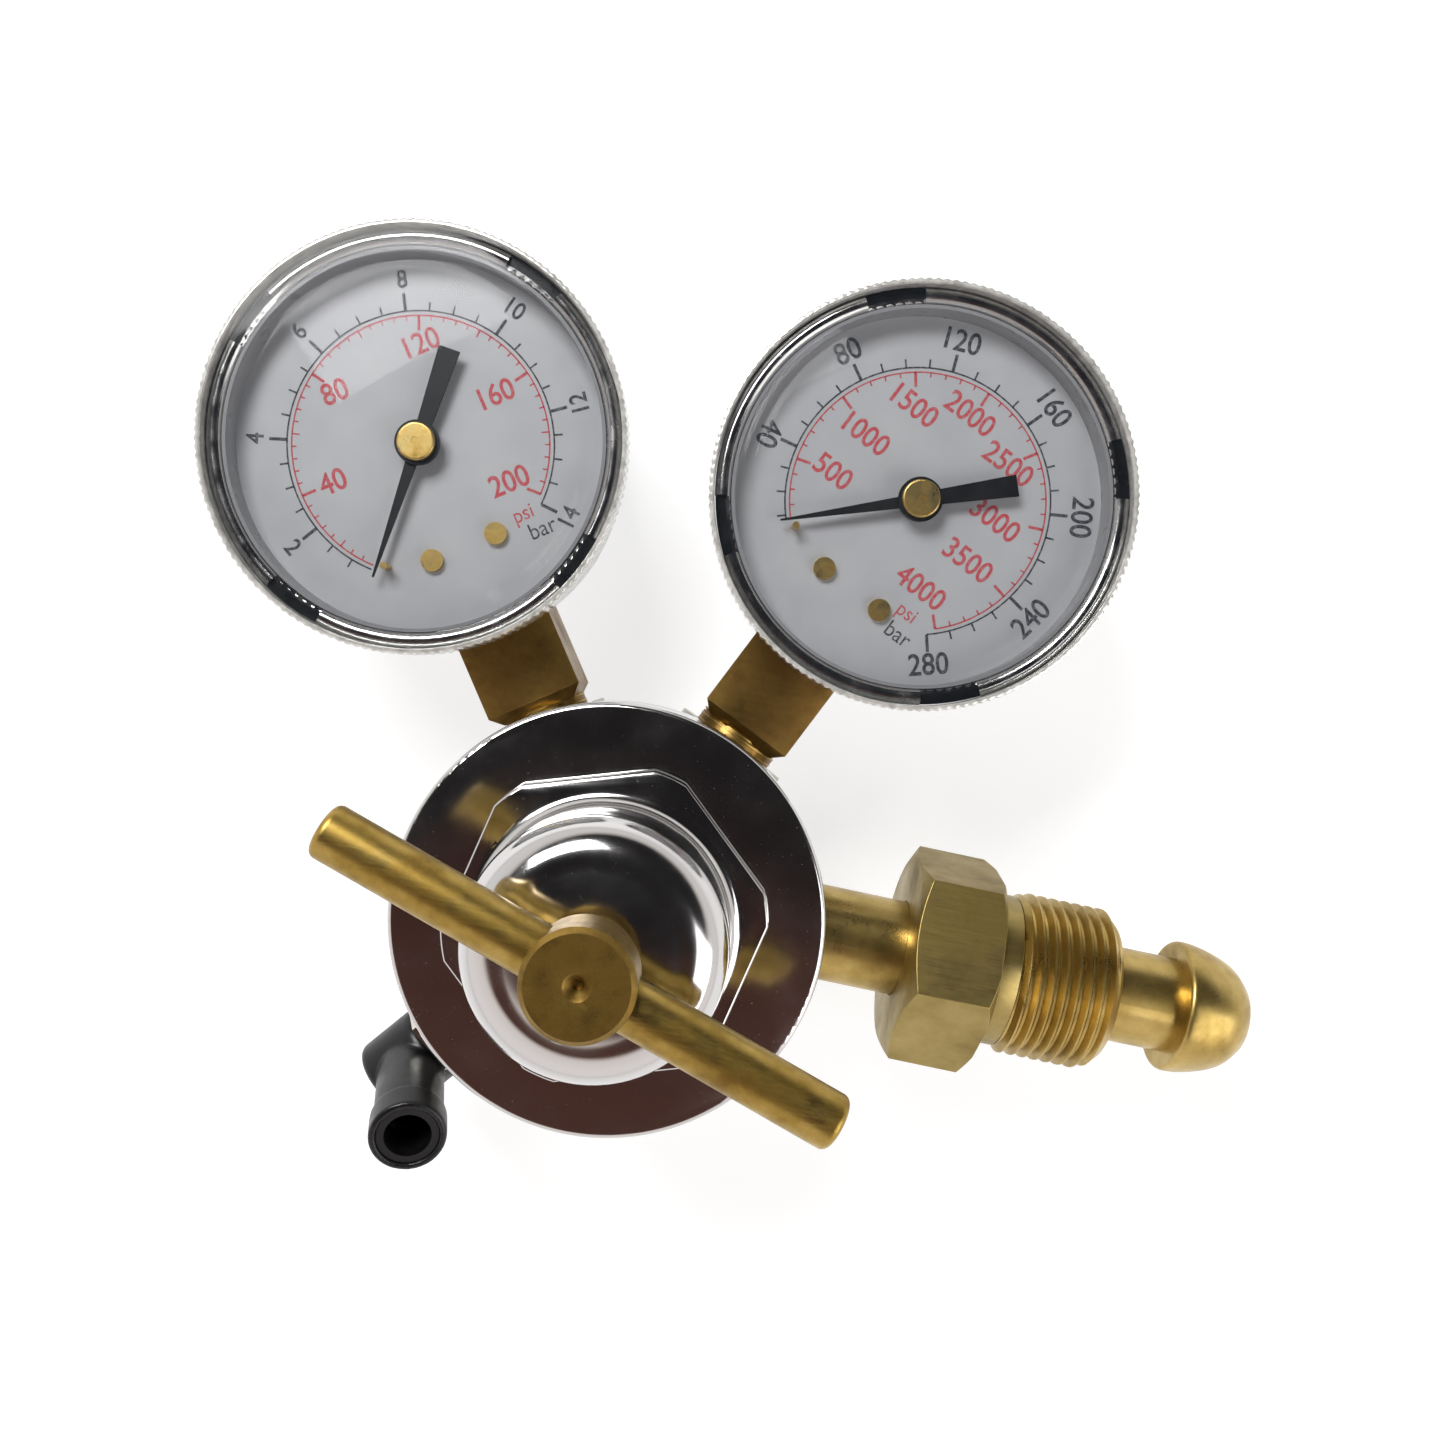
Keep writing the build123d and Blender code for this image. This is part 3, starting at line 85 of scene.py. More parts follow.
class GaugePlace:
    """Where a gauge's dial stands: local +Y points away from the body, +Z out of the dial."""

    def __init__(self, name):
        self.name = name
        self.centre = Vector(JOINTS[f"{name}_pointer_turn"]["pos_m"])
        self.out = Vector((self.centre.x, self.centre.y, 0)).normalized()
        self.across = self.out.cross(UP)
        self.dial_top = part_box(f"{name}_dial")[1].z
        self.lens_low, self.lens_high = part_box(f"{name}_lens")
        self.lens_r = (self.lens_high.y - self.lens_low.y) / 2

    def matrix(self, height):
        """Turns a piece built flat at the origin so that it lies on this gauge at this height."""
        turn = Matrix((self.across, self.out, UP)).transposed().to_4x4()
        return Matrix.Translation((self.centre.x, self.centre.y, height)) @ turn


GAUGES = {name: GaugePlace(name) for name in ("delivery", "cylinder")}


# ---------------------------------------------------------------- small helpers
def colour(code):
    """sRGB hex colour as the linear RGBA that shaders use."""
    channels = [int(code[i:i + 2], 16) / 255 for i in (1, 3, 5)]
    linear = [c / 12.92 if c <= 0.04045 else ((c + 0.055) / 1.055) ** 2.4 for c in channels]
    return (*linear, 1.0)


def node(tree, kind, settings=None, inputs=None, links=None):
    """Adds one shader node, sets its properties and sockets, and links its inputs."""
    made = tree.nodes.new(kind)
    for key, value in (settings or {}).items():
        setattr(made, key, value)
    for key, value in (inputs or {}).items():
        made.inputs[key].default_value = value
    for key, source in (links or {}).items():
        tree.links.new(source, made.inputs[key])
    return made


def blank_material(name, **principled):
    """Material with one Principled BSDF; constants go straight on its sockets."""
    material = bpy.data.materials.new(name)
    material.use_nodes = True
    tree = material.node_tree
    tree.nodes.clear()
    shader = node(tree, "ShaderNodeBsdfPrincipled", inputs=principled)
    output = node(tree, "ShaderNodeOutputMaterial")
    tree.links.new(shader.outputs[0], output.inputs[0])
    return material, tree, shader


def object_coordinates(tree, scale=(1, 1, 1)):
    """Object coordinates in millimetres, stretched for a pattern."""
    place = node(tree, "ShaderNodeTexCoord")
    mapping = node(
        tree, "ShaderNodeMapping",
        inputs={"Scale": [s / MM for s in scale]},
        links={"Vector": place.outputs["Object"]},
    )
    return mapping.outputs[0]


def speckle(tree, vector, size_mm, detail=4.0, rough=0.55):
    """Noise whose lumps are about this size."""
    return node(
        tree, "ShaderNodeTexNoise",
        inputs={"Scale": 1.0 / size_mm, "Detail": detail, "Roughness": rough},
        links={"Vector": vector},
    ).outputs["Fac"]


def ramp(tree, factor, stops):
    """Colour ramp from (position, hex) stops."""
    made = node(tree, "ShaderNodeValToRGB", links={"Fac": factor})
    elements = made.color_ramp.elements
    while len(elements) < len(stops):
        elements.new(0.5)
    for element, (position, code) in zip(elements, stops):
        element.position = position
        element.color = colour(code)
    return made.outputs["Color"]


def spread(tree, factor, low, high, start=0.0, end=1.0):
    """Maps a factor onto a range of values."""
    return node(
        tree, "ShaderNodeMapRange",
        inputs={"From Min": start, "From Max": end, "To Min": low, "To Max": high},
        links={"Value": factor},
    ).outputs[0]


def mix_colour(tree, factor, first, second):
    """Mixes two colours, each a socket or a hex code."""
    made = node(tree, "ShaderNodeMix", {"data_type": "RGBA"})
    for index, value in ((6, first), (7, second)):
        if isinstance(value, str):
            made.inputs[index].default_value = colour(value)
        else:
            tree.links.new(value, made.inputs[index])
    tree.links.new(factor, made.inputs[0])
    return made.outputs[2]


def bump(tree, shader, height, depth_mm, strength):
    """Adds relief of this depth to the shader."""
    made = node(
        tree, "ShaderNodeBump",
        inputs={"Distance": depth_mm * MM, "Strength": strength}, links={"Height": height},
    )
    tree.links.new(made.outputs[0], shader.inputs["Normal"])


def piece_from(mesh_maker, name, material, body, smooth_angle=None):
    """Makes an object from a filled bmesh, gives it its finish and rides it on a body."""
    mesh = bpy.data.meshes.new(name)
    mesh_maker.to_mesh(mesh)
    mesh_maker.free()
    made = bpy.data.objects.new(name, mesh)
    bpy.context.scene.collection.objects.link(made)
    mesh.materials.append(material)
    if smooth_angle is not None:
        shade(made, smooth_angle)
    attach(made, body)
    return made


def shade(made, angle):
    """Smooth shading that keeps edges sharper than this angle crisp."""
    for polygon in made.data.polygons:
        polygon.use_smooth = True
    made.data.set_sharp_from_angle(angle=math.radians(angle))


def recalculate(work):
    """Merges doubles and points every face outwards."""
    bmesh.ops.remove_doubles(work, verts=work.verts, dist=DOUBLE_GAP)
    bmesh.ops.recalc_face_normals(work, faces=work.faces)


def turned(outline, steps):
    """Lathe: spins an outline of (radius, height) points in millimetres round Z."""
    work = bmesh.new()
    points = [work.verts.new((r * MM, 0, z * MM)) for r, z in outline]
    edges = [work.edges.new(pair) for pair in zip(points, points[1:])]
    bmesh.ops.spin(
        work, geom=points + edges, cent=(0, 0, 0), axis=(0, 0, 1),
        angle=2 * math.pi, steps=steps, use_merge=True, use_duplicate=False,
    )
    recalculate(work)
    return work


def cad_copy(node_name):
    """Merged bmesh copy of a CAD node, whose own mesh is left alone."""
    work = bmesh.new()
    work.from_mesh(NODES[node_name].data)
    bmesh.ops.remove_doubles(work, verts=work.verts, dist=CAD_MERGE_GAP)
    bmesh.ops.dissolve_limit(work, angle_limit=FLAT_ANGLE, verts=work.verts, edges=work.edges)
    return work


def soften(made, width_mm, angle=32):
    """Breaks the sharp edges, as tumbling and plating leave them."""
    modifier = made.modifiers.new("broken_edges", "BEVEL")
    modifier.width = width_mm * MM
    modifier.segments = 2
    modifier.limit_method = "ANGLE"
    modifier.angle_limit = math.radians(angle)
    modifier.use_clamp_overlap = True
    modifier.harden_normals = False


# ---------------------------------------------------------------- materials
def chrome_plate():
    """Decorative chrome over polished brass: a slightly hazed mirror with fine dust."""
    material, tree, shader = blank_material(
        "chrome_plate", **{"Base Color": colour("#c9c7c6"), "Metallic": 1.0, "Roughness": 0.03}
    )
    flat = object_coordinates(tree)
    dust = speckle(tree, flat, 0.35, 6.0, 0.75)
    patches = speckle(tree, flat, 9.0, 3.0)
    specks = spread(tree, dust, 0.0, 1.0, 0.66, 0.74)
    base = mix_colour(tree, specks, "#c9c7c6", "#e4e2de")
    tree.links.new(base, shader.inputs["Base Color"])
    haze = node(
        tree, "ShaderNodeMath", {"operation": "MULTIPLY_ADD"}, {1: 0.5},
        {0: specks, 2: spread(tree, patches, 0.10, 0.19, 0.35, 0.75)},
    ).outputs[0]
    tree.links.new(haze, shader.inputs["Roughness"])
    bump(tree, shader, patches, 0.02, 0.35)
    return material


def turned_brass(name, light, mid, dark, rough, tarnish_mm, ring_axis=0, grain=0.02):
    """Bar-stock brass off the lathe: warm, faint tool rings and brown tarnish spots."""
    material, tree, shader = blank_material(
        name, **{"Base Color": colour(mid), "Metallic": 1.0, "Roughness": rough}
    )
    place = object_coordinates(tree)
    cloud = speckle(tree, place, tarnish_mm, 5.0, 0.6)
    tone = ramp(tree, cloud, [(0.30, dark), (0.48, mid), (0.72, light)])
    spots = spread(tree, speckle(tree, place, 0.9, 3.0, 0.6), 0.0, 0.5, 0.80, 0.88)
    tone = mix_colour(tree, spots, tone, dark)
    tree.links.new(tone, shader.inputs["Base Color"])
    scratch = [(0.08, 3.0, 3.0), (3.0, 0.08, 3.0), (3.0, 3.0, 0.08)][ring_axis]
    fine = speckle(tree, object_coordinates(tree, scale=scratch), 0.6, 4.0, 0.7)
    dull = node(
        tree, "ShaderNodeMath", {"operation": "MULTIPLY_ADD"}, {1: 0.22},
        {0: fine, 2: spread(tree, cloud, rough + 0.10, rough - 0.10, 0.3, 0.7)},
    ).outputs[0]
    tree.links.new(dull, shader.inputs["Roughness"])
    bump(tree, shader, fine, grain, 0.5)
    return material


def nickel_plate(name, code, rough):
    """Dull nickel over brass: a soft silver with cloudy roughness."""
    material, tree, shader = blank_material(
        name, **{"Base Color": colour(code), "Metallic": 1.0, "Roughness": rough}
    )
    cloud = speckle(tree, object_coordinates(tree), 3.0, 4.0)
    tree.links.new(spread(tree, cloud, rough - 0.08, rough + 0.12, 0.3, 0.7), shader.inputs["Roughness"])
    bump(tree, shader, speckle(tree, object_coordinates(tree), 0.4, 3.0), 0.01, 0.4)
    return material


def moulded_plastic(name, code, rough, grain=0.012):
    """Injection-moulded nylon or acetal: satin, with a fine spark-eroded skin."""
    material, tree, shader = blank_material(
        name, **{"Base Color": colour(code), "Roughness": rough, "IOR": 1.42}
    )
    cloud = speckle(tree, object_coordinates(tree), 2.5, 3.0)
    tree.links.new(spread(tree, cloud, rough - 0.05, rough + 0.10, 0.3, 0.7), shader.inputs["Roughness"])
    bump(tree, shader, speckle(tree, object_coordinates(tree), 0.22, 2.0), grain, 0.5)
    return material


def rubber(name, code):
    """Moulded nitrile rubber: black, matt, slightly mottled."""
    material, tree, shader = blank_material(
        name, **{"Base Color": colour(code), "Roughness": 0.55, "IOR": 1.5}
    )
    cloud = speckle(tree, object_coordinates(tree), 1.2, 3.0)
    tree.links.new(spread(tree, cloud, 0.42, 0.7), shader.inputs["Roughness"])
    return material


def dial_enamel():
    """Baked enamel on the dial plate: white, its colour painted a cool mid grey as painted shade from the
    lens and rim over it; almost flat, faintly uneven.
    """
    material, tree, shader = blank_material(
        "dial_enamel", **{"Base Color": colour("#b3b5bb"), "Roughness": 0.42, "IOR": 1.5}
    )
    cloud = speckle(tree, object_coordinates(tree), 7.0, 3.0)
    # painted shade: these greys stand for the white enamel darkened by the lens and rim over it
    tree.links.new(ramp(tree, cloud, [(0.3, "#b5b7bb"), (0.7, "#bdbfc2")]), shader.inputs["Base Color"])
    bump(tree, shader, speckle(tree, object_coordinates(tree), 0.5, 2.0), 0.006, 0.4)
    return material


def ink(name, code):
    """Pad-printed ink: matt, a little thin in places."""
    material, tree, shader = blank_material(
        name, **{"Base Color": colour(code), "Roughness": 0.6, "IOR": 1.5}
    )
    cloud = speckle(tree, object_coordinates(tree), 0.5, 3.0)
    thin = spread(tree, cloud, 0.0, 0.35, 0.45, 0.75)
    # thin ink shows the dial's grey beneath, and that grey is painted shade
    tree.links.new(mix_colour(tree, thin, code, "#b3b5bb"), shader.inputs["Base Color"])
    return material


def clear_polycarbonate():
    """Clear moulded polycarbonate, thin enough that only its gloss shows; its dark cool tint is painted shade
    laid over the dial.
    """
    material, tree, shader = blank_material(
        "clear_polycarbonate",
        # painted shade: a dark base colour at low alpha greys the dial seen through the window
        **{"Base Color": colour("#2a3036"), "Roughness": 0.05, "IOR": 1.58, "Alpha": 0.13,
           "Specular IOR Level": 0.5},
    )
    bump(tree, shader, speckle(tree, object_coordinates(tree), 14.0, 2.0), 0.03, 0.3)
    return material


def ribbed_polycarbonate():
    """The lens's gripping edge: milky clear plastic with silver light caught in its ribs."""
    material, tree, shader = blank_material(
        "ribbed_polycarbonate",
        **{"Base Color": colour("#b7b6b1"), "Roughness": 0.16, "IOR": 1.58, "Metallic": 0.35,
           "Coat Weight": 0.5, "Coat Roughness": 0.05},
    )
    cloud = speckle(tree, object_coordinates(tree), 1.8, 4.0, 0.7)
    tree.links.new(
        ramp(tree, cloud, [(0.3, "#a3a29d"), (0.5, "#c4c3be"), (0.72, "#e4e3de")]),
        shader.inputs["Base Color"],
    )
    return material


def stage_paper():
    """Pale seamless paper, matt and even."""
    material, tree, shader = blank_material(
        "stage_paper",
        **{"Base Color": colour("#a8a8a8"), "Roughness": 0.9, "Emission Color": colour("#ffffff"),
           "Emission Strength": 0.72},
    )
    cloud = speckle(tree, object_coordinates(tree), 60.0, 2.0)
    tree.links.new(ramp(tree, cloud, [(0.3, "#a4a4a4"), (0.7, "#acacac")]), shader.inputs["Base Color"])
    return material


FINISHES = {}


def finish(key):
    """The shared material of this name, made on first use."""
    looks = bpy.context.scene.regulator_looks
    makers = {
        "chrome_plate": chrome_plate,
        "handle_brass": lambda: turned_brass(
            "handle_brass", "#b39857", "#9b803f", "#7a5f2c", looks.brass_roughness, 5.0),
        "head_brass": lambda: turned_brass(
            "head_brass", "#8f753a", "#7f6632", "#664f27", 0.36, 3.2, 2),
        "inlet_brass": lambda: turned_brass(
            "inlet_brass", "#c6ad6e", "#ab9254", "#8a733c", 0.24, 9.0, 1, 0.0),
        "nut_brass": lambda: turned_brass(
            "nut_brass", "#a7945f", "#94814d", "#7d6b3c", 0.30, 9.0),
        "stem_brass": lambda: turned_brass(
            "stem_brass", "#937740", "#7b6032", "#5c4524", 0.30, 5.5),
        "movement_brass": lambda: turned_brass(
            "movement_brass", "#e2c27a", "#c8a458", "#9a7a3a", 0.28, 3.0),
        "hub_brass": lambda: turned_brass(
            "hub_brass", "#f0d791", "#d6b66c", "#a3823d", 0.25, 2.4, 2),
        "sintered_bronze": lambda: turned_brass(
            "sintered_bronze", "#b08a58", "#8a6238", "#5e4022", 0.6, 0.5),
        "body_nickel": lambda: nickel_plate("body_nickel", "#b9b5ac", 0.28),
        "stud_nickel": lambda: nickel_plate("stud_nickel", "#cfccc4", 0.18),
        "spring_steel": lambda: nickel_plate("spring_steel", "#9a9a9c", 0.3),
        "zinc_steel": lambda: nickel_plate("zinc_steel", "#b4b6ba", 0.36),
        "case_steel": lambda: nickel_plate("case_steel", "#bdbcbb", 0.17),
        "elbow_nylon": lambda: moulded_plastic("elbow_nylon", "#08080a", 0.34),
        "collet_acetal": lambda: moulded_plastic("collet_acetal", "#040405", 0.45),
        "seat_nylon": lambda: moulded_plastic("seat_nylon", "#dedbd0", 0.4),
        "ring_black": lambda: moulded_plastic("ring_black", "#060607", 0.3),
        "ring_grey": lambda: moulded_plastic("ring_grey", "#8e8f92", 0.3),
        "pointer_enamel": lambda: moulded_plastic("pointer_enamel", "#040405", 0.42, 0.006),
        "seal_rubber": lambda: rubber("seal_rubber", "#08080a"),
        "dial_enamel": dial_enamel,
        "red_ink": lambda: ink("red_ink", looks.red_ink_hex),
        "black_ink": lambda: ink("black_ink", looks.black_ink_hex),
        "clear_polycarbonate": clear_polycarbonate,
        "ribbed_polycarbonate": ribbed_polycarbonate,
        "stage_paper": stage_paper,
    }
    if key not in FINISHES:
        FINISHES[key] = makers[key]()
    return FINISHES[key]


def dress(node_name, key):
    """Gives a CAD node that stays its finish, with no change to its mesh."""
    made = NODES[node_name]
    made.data.materials.clear()
    made.data.materials.append(finish(key))


GAUGE_FINISHES = {
    "socket": "stem_brass", "case": "case_steel", "lens_seal": "ring_black", "dial_ring": "ring_grey",
    "dial": "dial_enamel", "stop_pin": "hub_brass", "bourdon_tube": "movement_brass",
    "hairspring": "movement_brass", "back_plate": "movement_brass", "front_plate": "movement_brass",
    "movement_pillars": "movement_brass", "pointer": "pointer_enamel", "pointer_hub": "hub_brass",
    "pinion_arbor": "movement_brass", "sector_gear": "movement_brass", "link": "movement_brass",
}
CAD_FINISHES = {
    "regulator_body": "body_nickel", "diaphragm": "seal_rubber", "slip_ring": "zinc_steel",
    "diaphragm_plate": "zinc_steel", "range_spring": "spring_steel", "spring_button": "zinc_steel",
    "handle_bar": "handle_brass", "valve_nozzle": "stem_brass", "valve_pin": "spring_steel",
    "valve_poppet": "stem_brass", "valve_seat_disc": "seat_nylon", "poppet_spring": "spring_steel",
    "inlet_nipple": "inlet_brass", "inlet_filter": "sintered_bronze", "outlet_stud": "stud_nickel",
    "elbow_seal": "seal_rubber", "tube_seal": "seal_rubber", "grab_ring": "spring_steel",
    "release_collet": "collet_acetal", "gauge_dial_screws": "hub_brass", "gauge_case_screws": "zinc_steel",
}


# ---------------------------------------------------------------- settings
class RegulatorLooks(bpy.types.PropertyGroup):
    """Sizes and colours that a user would change."""

    brass_roughness: bpy.props.FloatProperty(
        name="Brass roughness", description="How dull the handle's brass is",
        default=0.27, min=0.05, max=0.8, subtype="FACTOR")
    red_ink_hex: bpy.props.StringProperty(
        name="Red ink", description="sRGB hex of the dials' psi print", default="#c0484f")
    black_ink_hex: bpy.props.StringProperty(
        name="Black ink", description="sRGB hex of the dials' bar print", default="#33373e")
    lens_ribs: bpy.props.IntProperty(
        name="Lens ribs", description="Gripping ribs round each lens", default=150, min=24, max=240)
    rib_depth: bpy.props.FloatProperty(
        name="Rib depth", description="Depth of a lens's ribs", default=0.00022, unit="LENGTH")
    edge_break: bpy.props.FloatProperty(
        name="Edge break", description="Width of the softened edges, in millimetres", default=0.28)
    thread_pitch: bpy.props.FloatProperty(
        name="Inlet thread pitch", description="Pitch of the inlet nut's thread", default=0.001814,
        unit="LENGTH")
    key_light: bpy.props.FloatProperty(
        name="Key light", description="Power of the main soft light, in watts", default=3.2)


# ---------------------------------------------------------------- pieces
def dial_angle(value, scale):
    """Angle clockwise from the dial's top for a reading."""
    return scale["start"] + (scale["end"] - scale["start"]) * value / scale["top"]


def dial_point(radius, angle):
    """Point in metres at this radius in millimetres, clockwise from the dial's top."""
    turn = math.radians(angle)
    return Vector((radius * MM * math.sin(turn), radius * MM * math.cos(turn), 0))


def add_tick(work, angle, inner, outer, width):
    """One flat radial stroke."""
    across = dial_point(width / 2, angle + 90)
    corners = [
        dial_point(inner, angle) - across, dial_point(inner, angle) + across,
        dial_point(outer, angle) + across, dial_point(outer, angle) - across,
    ]
    work.faces.new([work.verts.new(corner) for corner in corners])


def add_arc(work, radius, width, start, end):
    """A flat printed arc, spun from one short stroke."""
    first = work.verts.new(dial_point(radius - width / 2, start))
    second = work.verts.new(dial_point(radius + width / 2, start))
    edge = work.edges.new((first, second))
    bmesh.ops.spin(
        work, geom=[first, second, edge], cent=(0, 0, 0), axis=(0, 0, 1),
        angle=-math.radians(end - start), steps=160, use_merge=False, use_duplicate=False,
    )


DIGIT_HEIGHT_TO_FONT_SIZE, LETTER_WIDTH = 1.42, 0.90
SHARPEST_MITRE = 0.4


def embolden(work, weight_mm):
    """Pushes a flat outline outwards by this much all round, and its counters inwards."""
    sides = {}
    for edge in work.edges:
        if edge.is_boundary:
            start, end = edge.verts
            along = (end.co - start.co).normalized()
            out = Vector((along.y, -along.x, 0))
            if (edge.link_faces[0].calc_center_median() - start.co).dot(out) > 0:
                out.negate()
            for corner in edge.verts:
                sides.setdefault(corner, []).append(out)
    for corner, outs in sides.items():
        if len(outs) == 2:
            mitre = max(1 + outs[0].dot(outs[1]), SHARPEST_MITRE)
            corner.co += (outs[0] + outs[1]) * weight_mm * MM / mitre


def add_text(work, words, size_mm, centre, turn_degrees, weight_mm=0.0):
    """Flat lettering, centred on a point and turned clockwise by this angle."""
    curve = bpy.data.curves.new("lettering", "FONT")
    curve.body = words
    curve.size = size_mm * MM * DIGIT_HEIGHT_TO_FONT_SIZE
    curve.align_x, curve.align_y = "CENTER", "CENTER"
    curve.resolution_u = 6
    holder = bpy.data.objects.new("lettering", curve)
    bpy.context.scene.collection.objects.link(holder)
    bpy.context.view_layer.update()
    mesh = bpy.data.meshes.new_from_object(holder)
    letters = bmesh.new()
    letters.from_mesh(mesh)
    embolden(letters, weight_mm)
    letters.to_mesh(mesh)
    letters.free()
    squeeze = Matrix.Diagonal((LETTER_WIDTH, 1, 1, 1))
    turn = Matrix.Rotation(-math.radians(turn_degrees), 4, "Z")
    mesh.transform(Matrix.Translation(centre) @ turn @ squeeze)
    work.from_mesh(mesh)
    bpy.data.meshes.remove(mesh)
    bpy.data.objects.remove(holder)
    bpy.data.curves.remove(curve)


DIAL_SCALES = {
    "delivery": {
        "bar": {"top": 14, "start": -146.0, "end": 139.0, "major": 2, "minor": 0.5, "size": 2.5,
                "unit": (11.3, -17.6)},
        "psi": {"top": 200, "start": -146.3, "end": 135.0, "major": 40, "minor": 4, "unit": (9.6, -14.6)},
        "numerals": ((-13.6, 0.0), (-8.3, 11.6), (5.55, 13.2), (12.5, 2.4), (9.6, -9.7)),
    },
    "cylinder": {
        "bar": {"top": 280, "start": -143.0, "end": 139.0, "major": 40, "minor": 10, "size": 3.1,
                "unit": (9.2, -16.9)},
        "psi": {"top": 4000, "start": -142.3, "end": 135.0, "major": 500, "minor": 100, "unit": (8.4, -13.6)},
        "numerals": ((-12.3, -4.05), (-12.0, 3.05), (-8.9, 10.45), (-1.6, 14.35), (7.1, 11.95), (10.4, 4.5),
                     (10.8, -2.5), (7.8, -9.65)),
    },
}
PRINT_LIFT = 0.00002
FIRST_ANGLE = -135.0  # the resting pointer's place, where both arcs begin


def is_multiple(value, step):
    """Whether a reading falls on a whole number of steps."""
    return abs(value / step - round(value / step)) < 1e-6


class REGULATOR_OT_dial_print(bpy.types.Operator):
    """Prints both dials: black bar scale outside, red psi scale inside"""

    bl_idname = "regulator.dial_print"
    bl_label = "Dial print"

    BLACK_ARC, BLACK_ARC_WIDTH, BLACK_INNER = 19.06, 0.24, 19.1
    BLACK_MAJOR, BLACK_MINOR = (21.6, 0.46), (20.3, 0.27)
    BLACK_NUMERALS, BLACK_UNIT_SIZE = 23.5, 2.4
    RED_ARC, RED_ARC_WIDTH = 18.4, 0.22
    RED_MAJOR, RED_HALF, RED_MINOR = (16.3, 0.42), (17.3, 0.22), (17.7, 0.22)
    RED_SIZE, RED_UNIT_SIZE = 3.1, 2.2
    NUMERAL_WEIGHT = 0.06

    def readings(self, scale):
        """Each stroke's reading and its angle."""
        for number in range(round(scale["top"] / scale["minor"]) + 1):
            value = number * scale["minor"]
            yield value, dial_angle(value, scale)

    def black_scale(self, scale):
        """Outer arc, its strokes outwards, and the radial bar numerals."""
        work = bmesh.new()
        add_arc(work, self.BLACK_ARC, self.BLACK_ARC_WIDTH, FIRST_ANGLE, scale["end"])
        for value, angle in self.readings(scale):
            major = is_multiple(value, scale["major"])
            outer, width = self.BLACK_MAJOR if major else self.BLACK_MINOR
            if angle > FIRST_ANGLE:
                add_tick(work, angle, self.BLACK_INNER, outer, width)
            if major and value > 0:
                turn = angle if abs(angle) <= 90 else angle + 180
                place = dial_point(self.BLACK_NUMERALS, angle)
                add_text(work, str(round(value)), scale["size"], place, turn, self.NUMERAL_WEIGHT)
        add_text(work, "bar", self.BLACK_UNIT_SIZE, Vector((*scale["unit"], 0)) * MM, 0)
        return work

    def red_scale(self, scale, numerals):
        """Inner arc, its strokes inwards, and the upright psi numerals."""
        work = bmesh.new()
        add_arc(work, self.RED_ARC, self.RED_ARC_WIDTH, FIRST_ANGLE, scale["end"])
        for value, angle in self.readings(scale):
            if is_multiple(value, scale["major"]):
                inner, width = self.RED_MAJOR
            elif is_multiple(value * 2, scale["major"]):
                inner, width = self.RED_HALF
            else:
                inner, width = self.RED_MINOR
            if angle > FIRST_ANGLE:
                add_tick(work, angle, inner, self.RED_ARC, width)
        for number, place in enumerate(numerals, start=1):
            words = str(round(number * scale["major"]))
            add_text(work, words, self.RED_SIZE, Vector((*place, 0)) * MM, 0, self.NUMERAL_WEIGHT)
        add_text(work, "psi", self.RED_UNIT_SIZE, Vector((*scale["unit"], 0)) * MM, 0)
        return work

    def execute(self, context):
        for name, place in GAUGES.items():
            height = place.dial_top + PRINT_LIFT
            scales = DIAL_SCALES[name]
            for print_colour, work in (
                ("black", self.black_scale(scales["bar"])),
                ("red", self.red_scale(scales["psi"], scales["numerals"])),
            ):
                bmesh.ops.transform(work, matrix=place.matrix(height), verts=work.verts)
                for face in work.faces:
                    face.normal_update()
                    if face.normal.z < 0:
                        face.normal_flip()
                piece_from(work, f"{name}_{print_colour}_print", finish(f"{print_colour}_ink"),
                           "regulator")
        return {"FINISHED"}


class REGULATOR_OT_rims(bpy.types.Operator):
    """Rolls each case's rim into a polished bead, broken by the lens's four notches"""

    bl_idname = "regulator.rims"
    bl_label = "Case rims"

    RIM_IN, RIM_OUT, RIM_T, CUT_LAP = 26.8, 29.1, 0.7, 0.00005
    BEAD_STEPS, ARC_STEPS = 16, 64
    FIRST_NOTCH = {"delivery": 60.0, "cylinder": 45.0}
    NOTCH_HALF_ANGLE = 8.5

    def bead(self, place, top):
        """Four arcs of a half-round bead."""
        work = bmesh.new()
        half, middle_r = (self.RIM_OUT - self.RIM_IN) / 2, (self.RIM_OUT + self.RIM_IN) / 2
        outline = []
        for step in range(self.BEAD_STEPS + 1):
            turn = math.radians(180 * step / self.BEAD_STEPS)
            outline.append((middle_r + half * math.cos(turn), half * math.sin(turn) - half))
        for number in range(4):
            start = self.FIRST_NOTCH[place.name] + 90 * number + self.NOTCH_HALF_ANGLE
            points = [work.verts.new(dial_point(r, start) + UP * z * MM) for r, z in outline]
            edges = [work.edges.new(pair) for pair in zip(points, points[1:] + points[:1])]
            work.faces.new(points)
            bmesh.ops.spin(
                work, geom=points + edges, cent=(0, 0, 0), axis=(0, 0, 1), steps=self.ARC_STEPS,
                angle=-math.radians(90 - 2 * self.NOTCH_HALF_ANGLE), use_duplicate=False, use_merge=False,
            )
        bmesh.ops.holes_fill(work, edges=work.edges, sides=0)
        bmesh.ops.transform(work, matrix=place.matrix(top), verts=work.verts)
        recalculate(work)
        return work

    def execute(self, context):
        for place in GAUGES.values():
            case = f"{place.name}_case"
            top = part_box(case)[1].z
            shell = cad_copy(case)
            cut_away(shell, (0, 0, top - self.RIM_T * MM - self.CUT_LAP), (0, 0, 1))
            made = piece_from(shell, f"{case}_shell", finish("case_steel"), "regulator", 30)
            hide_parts(case)
            piece_from(self.bead(place, top), f"{case}_bead", finish("case_steel"), "regulator",
                       50)
        return {"FINISHED"}


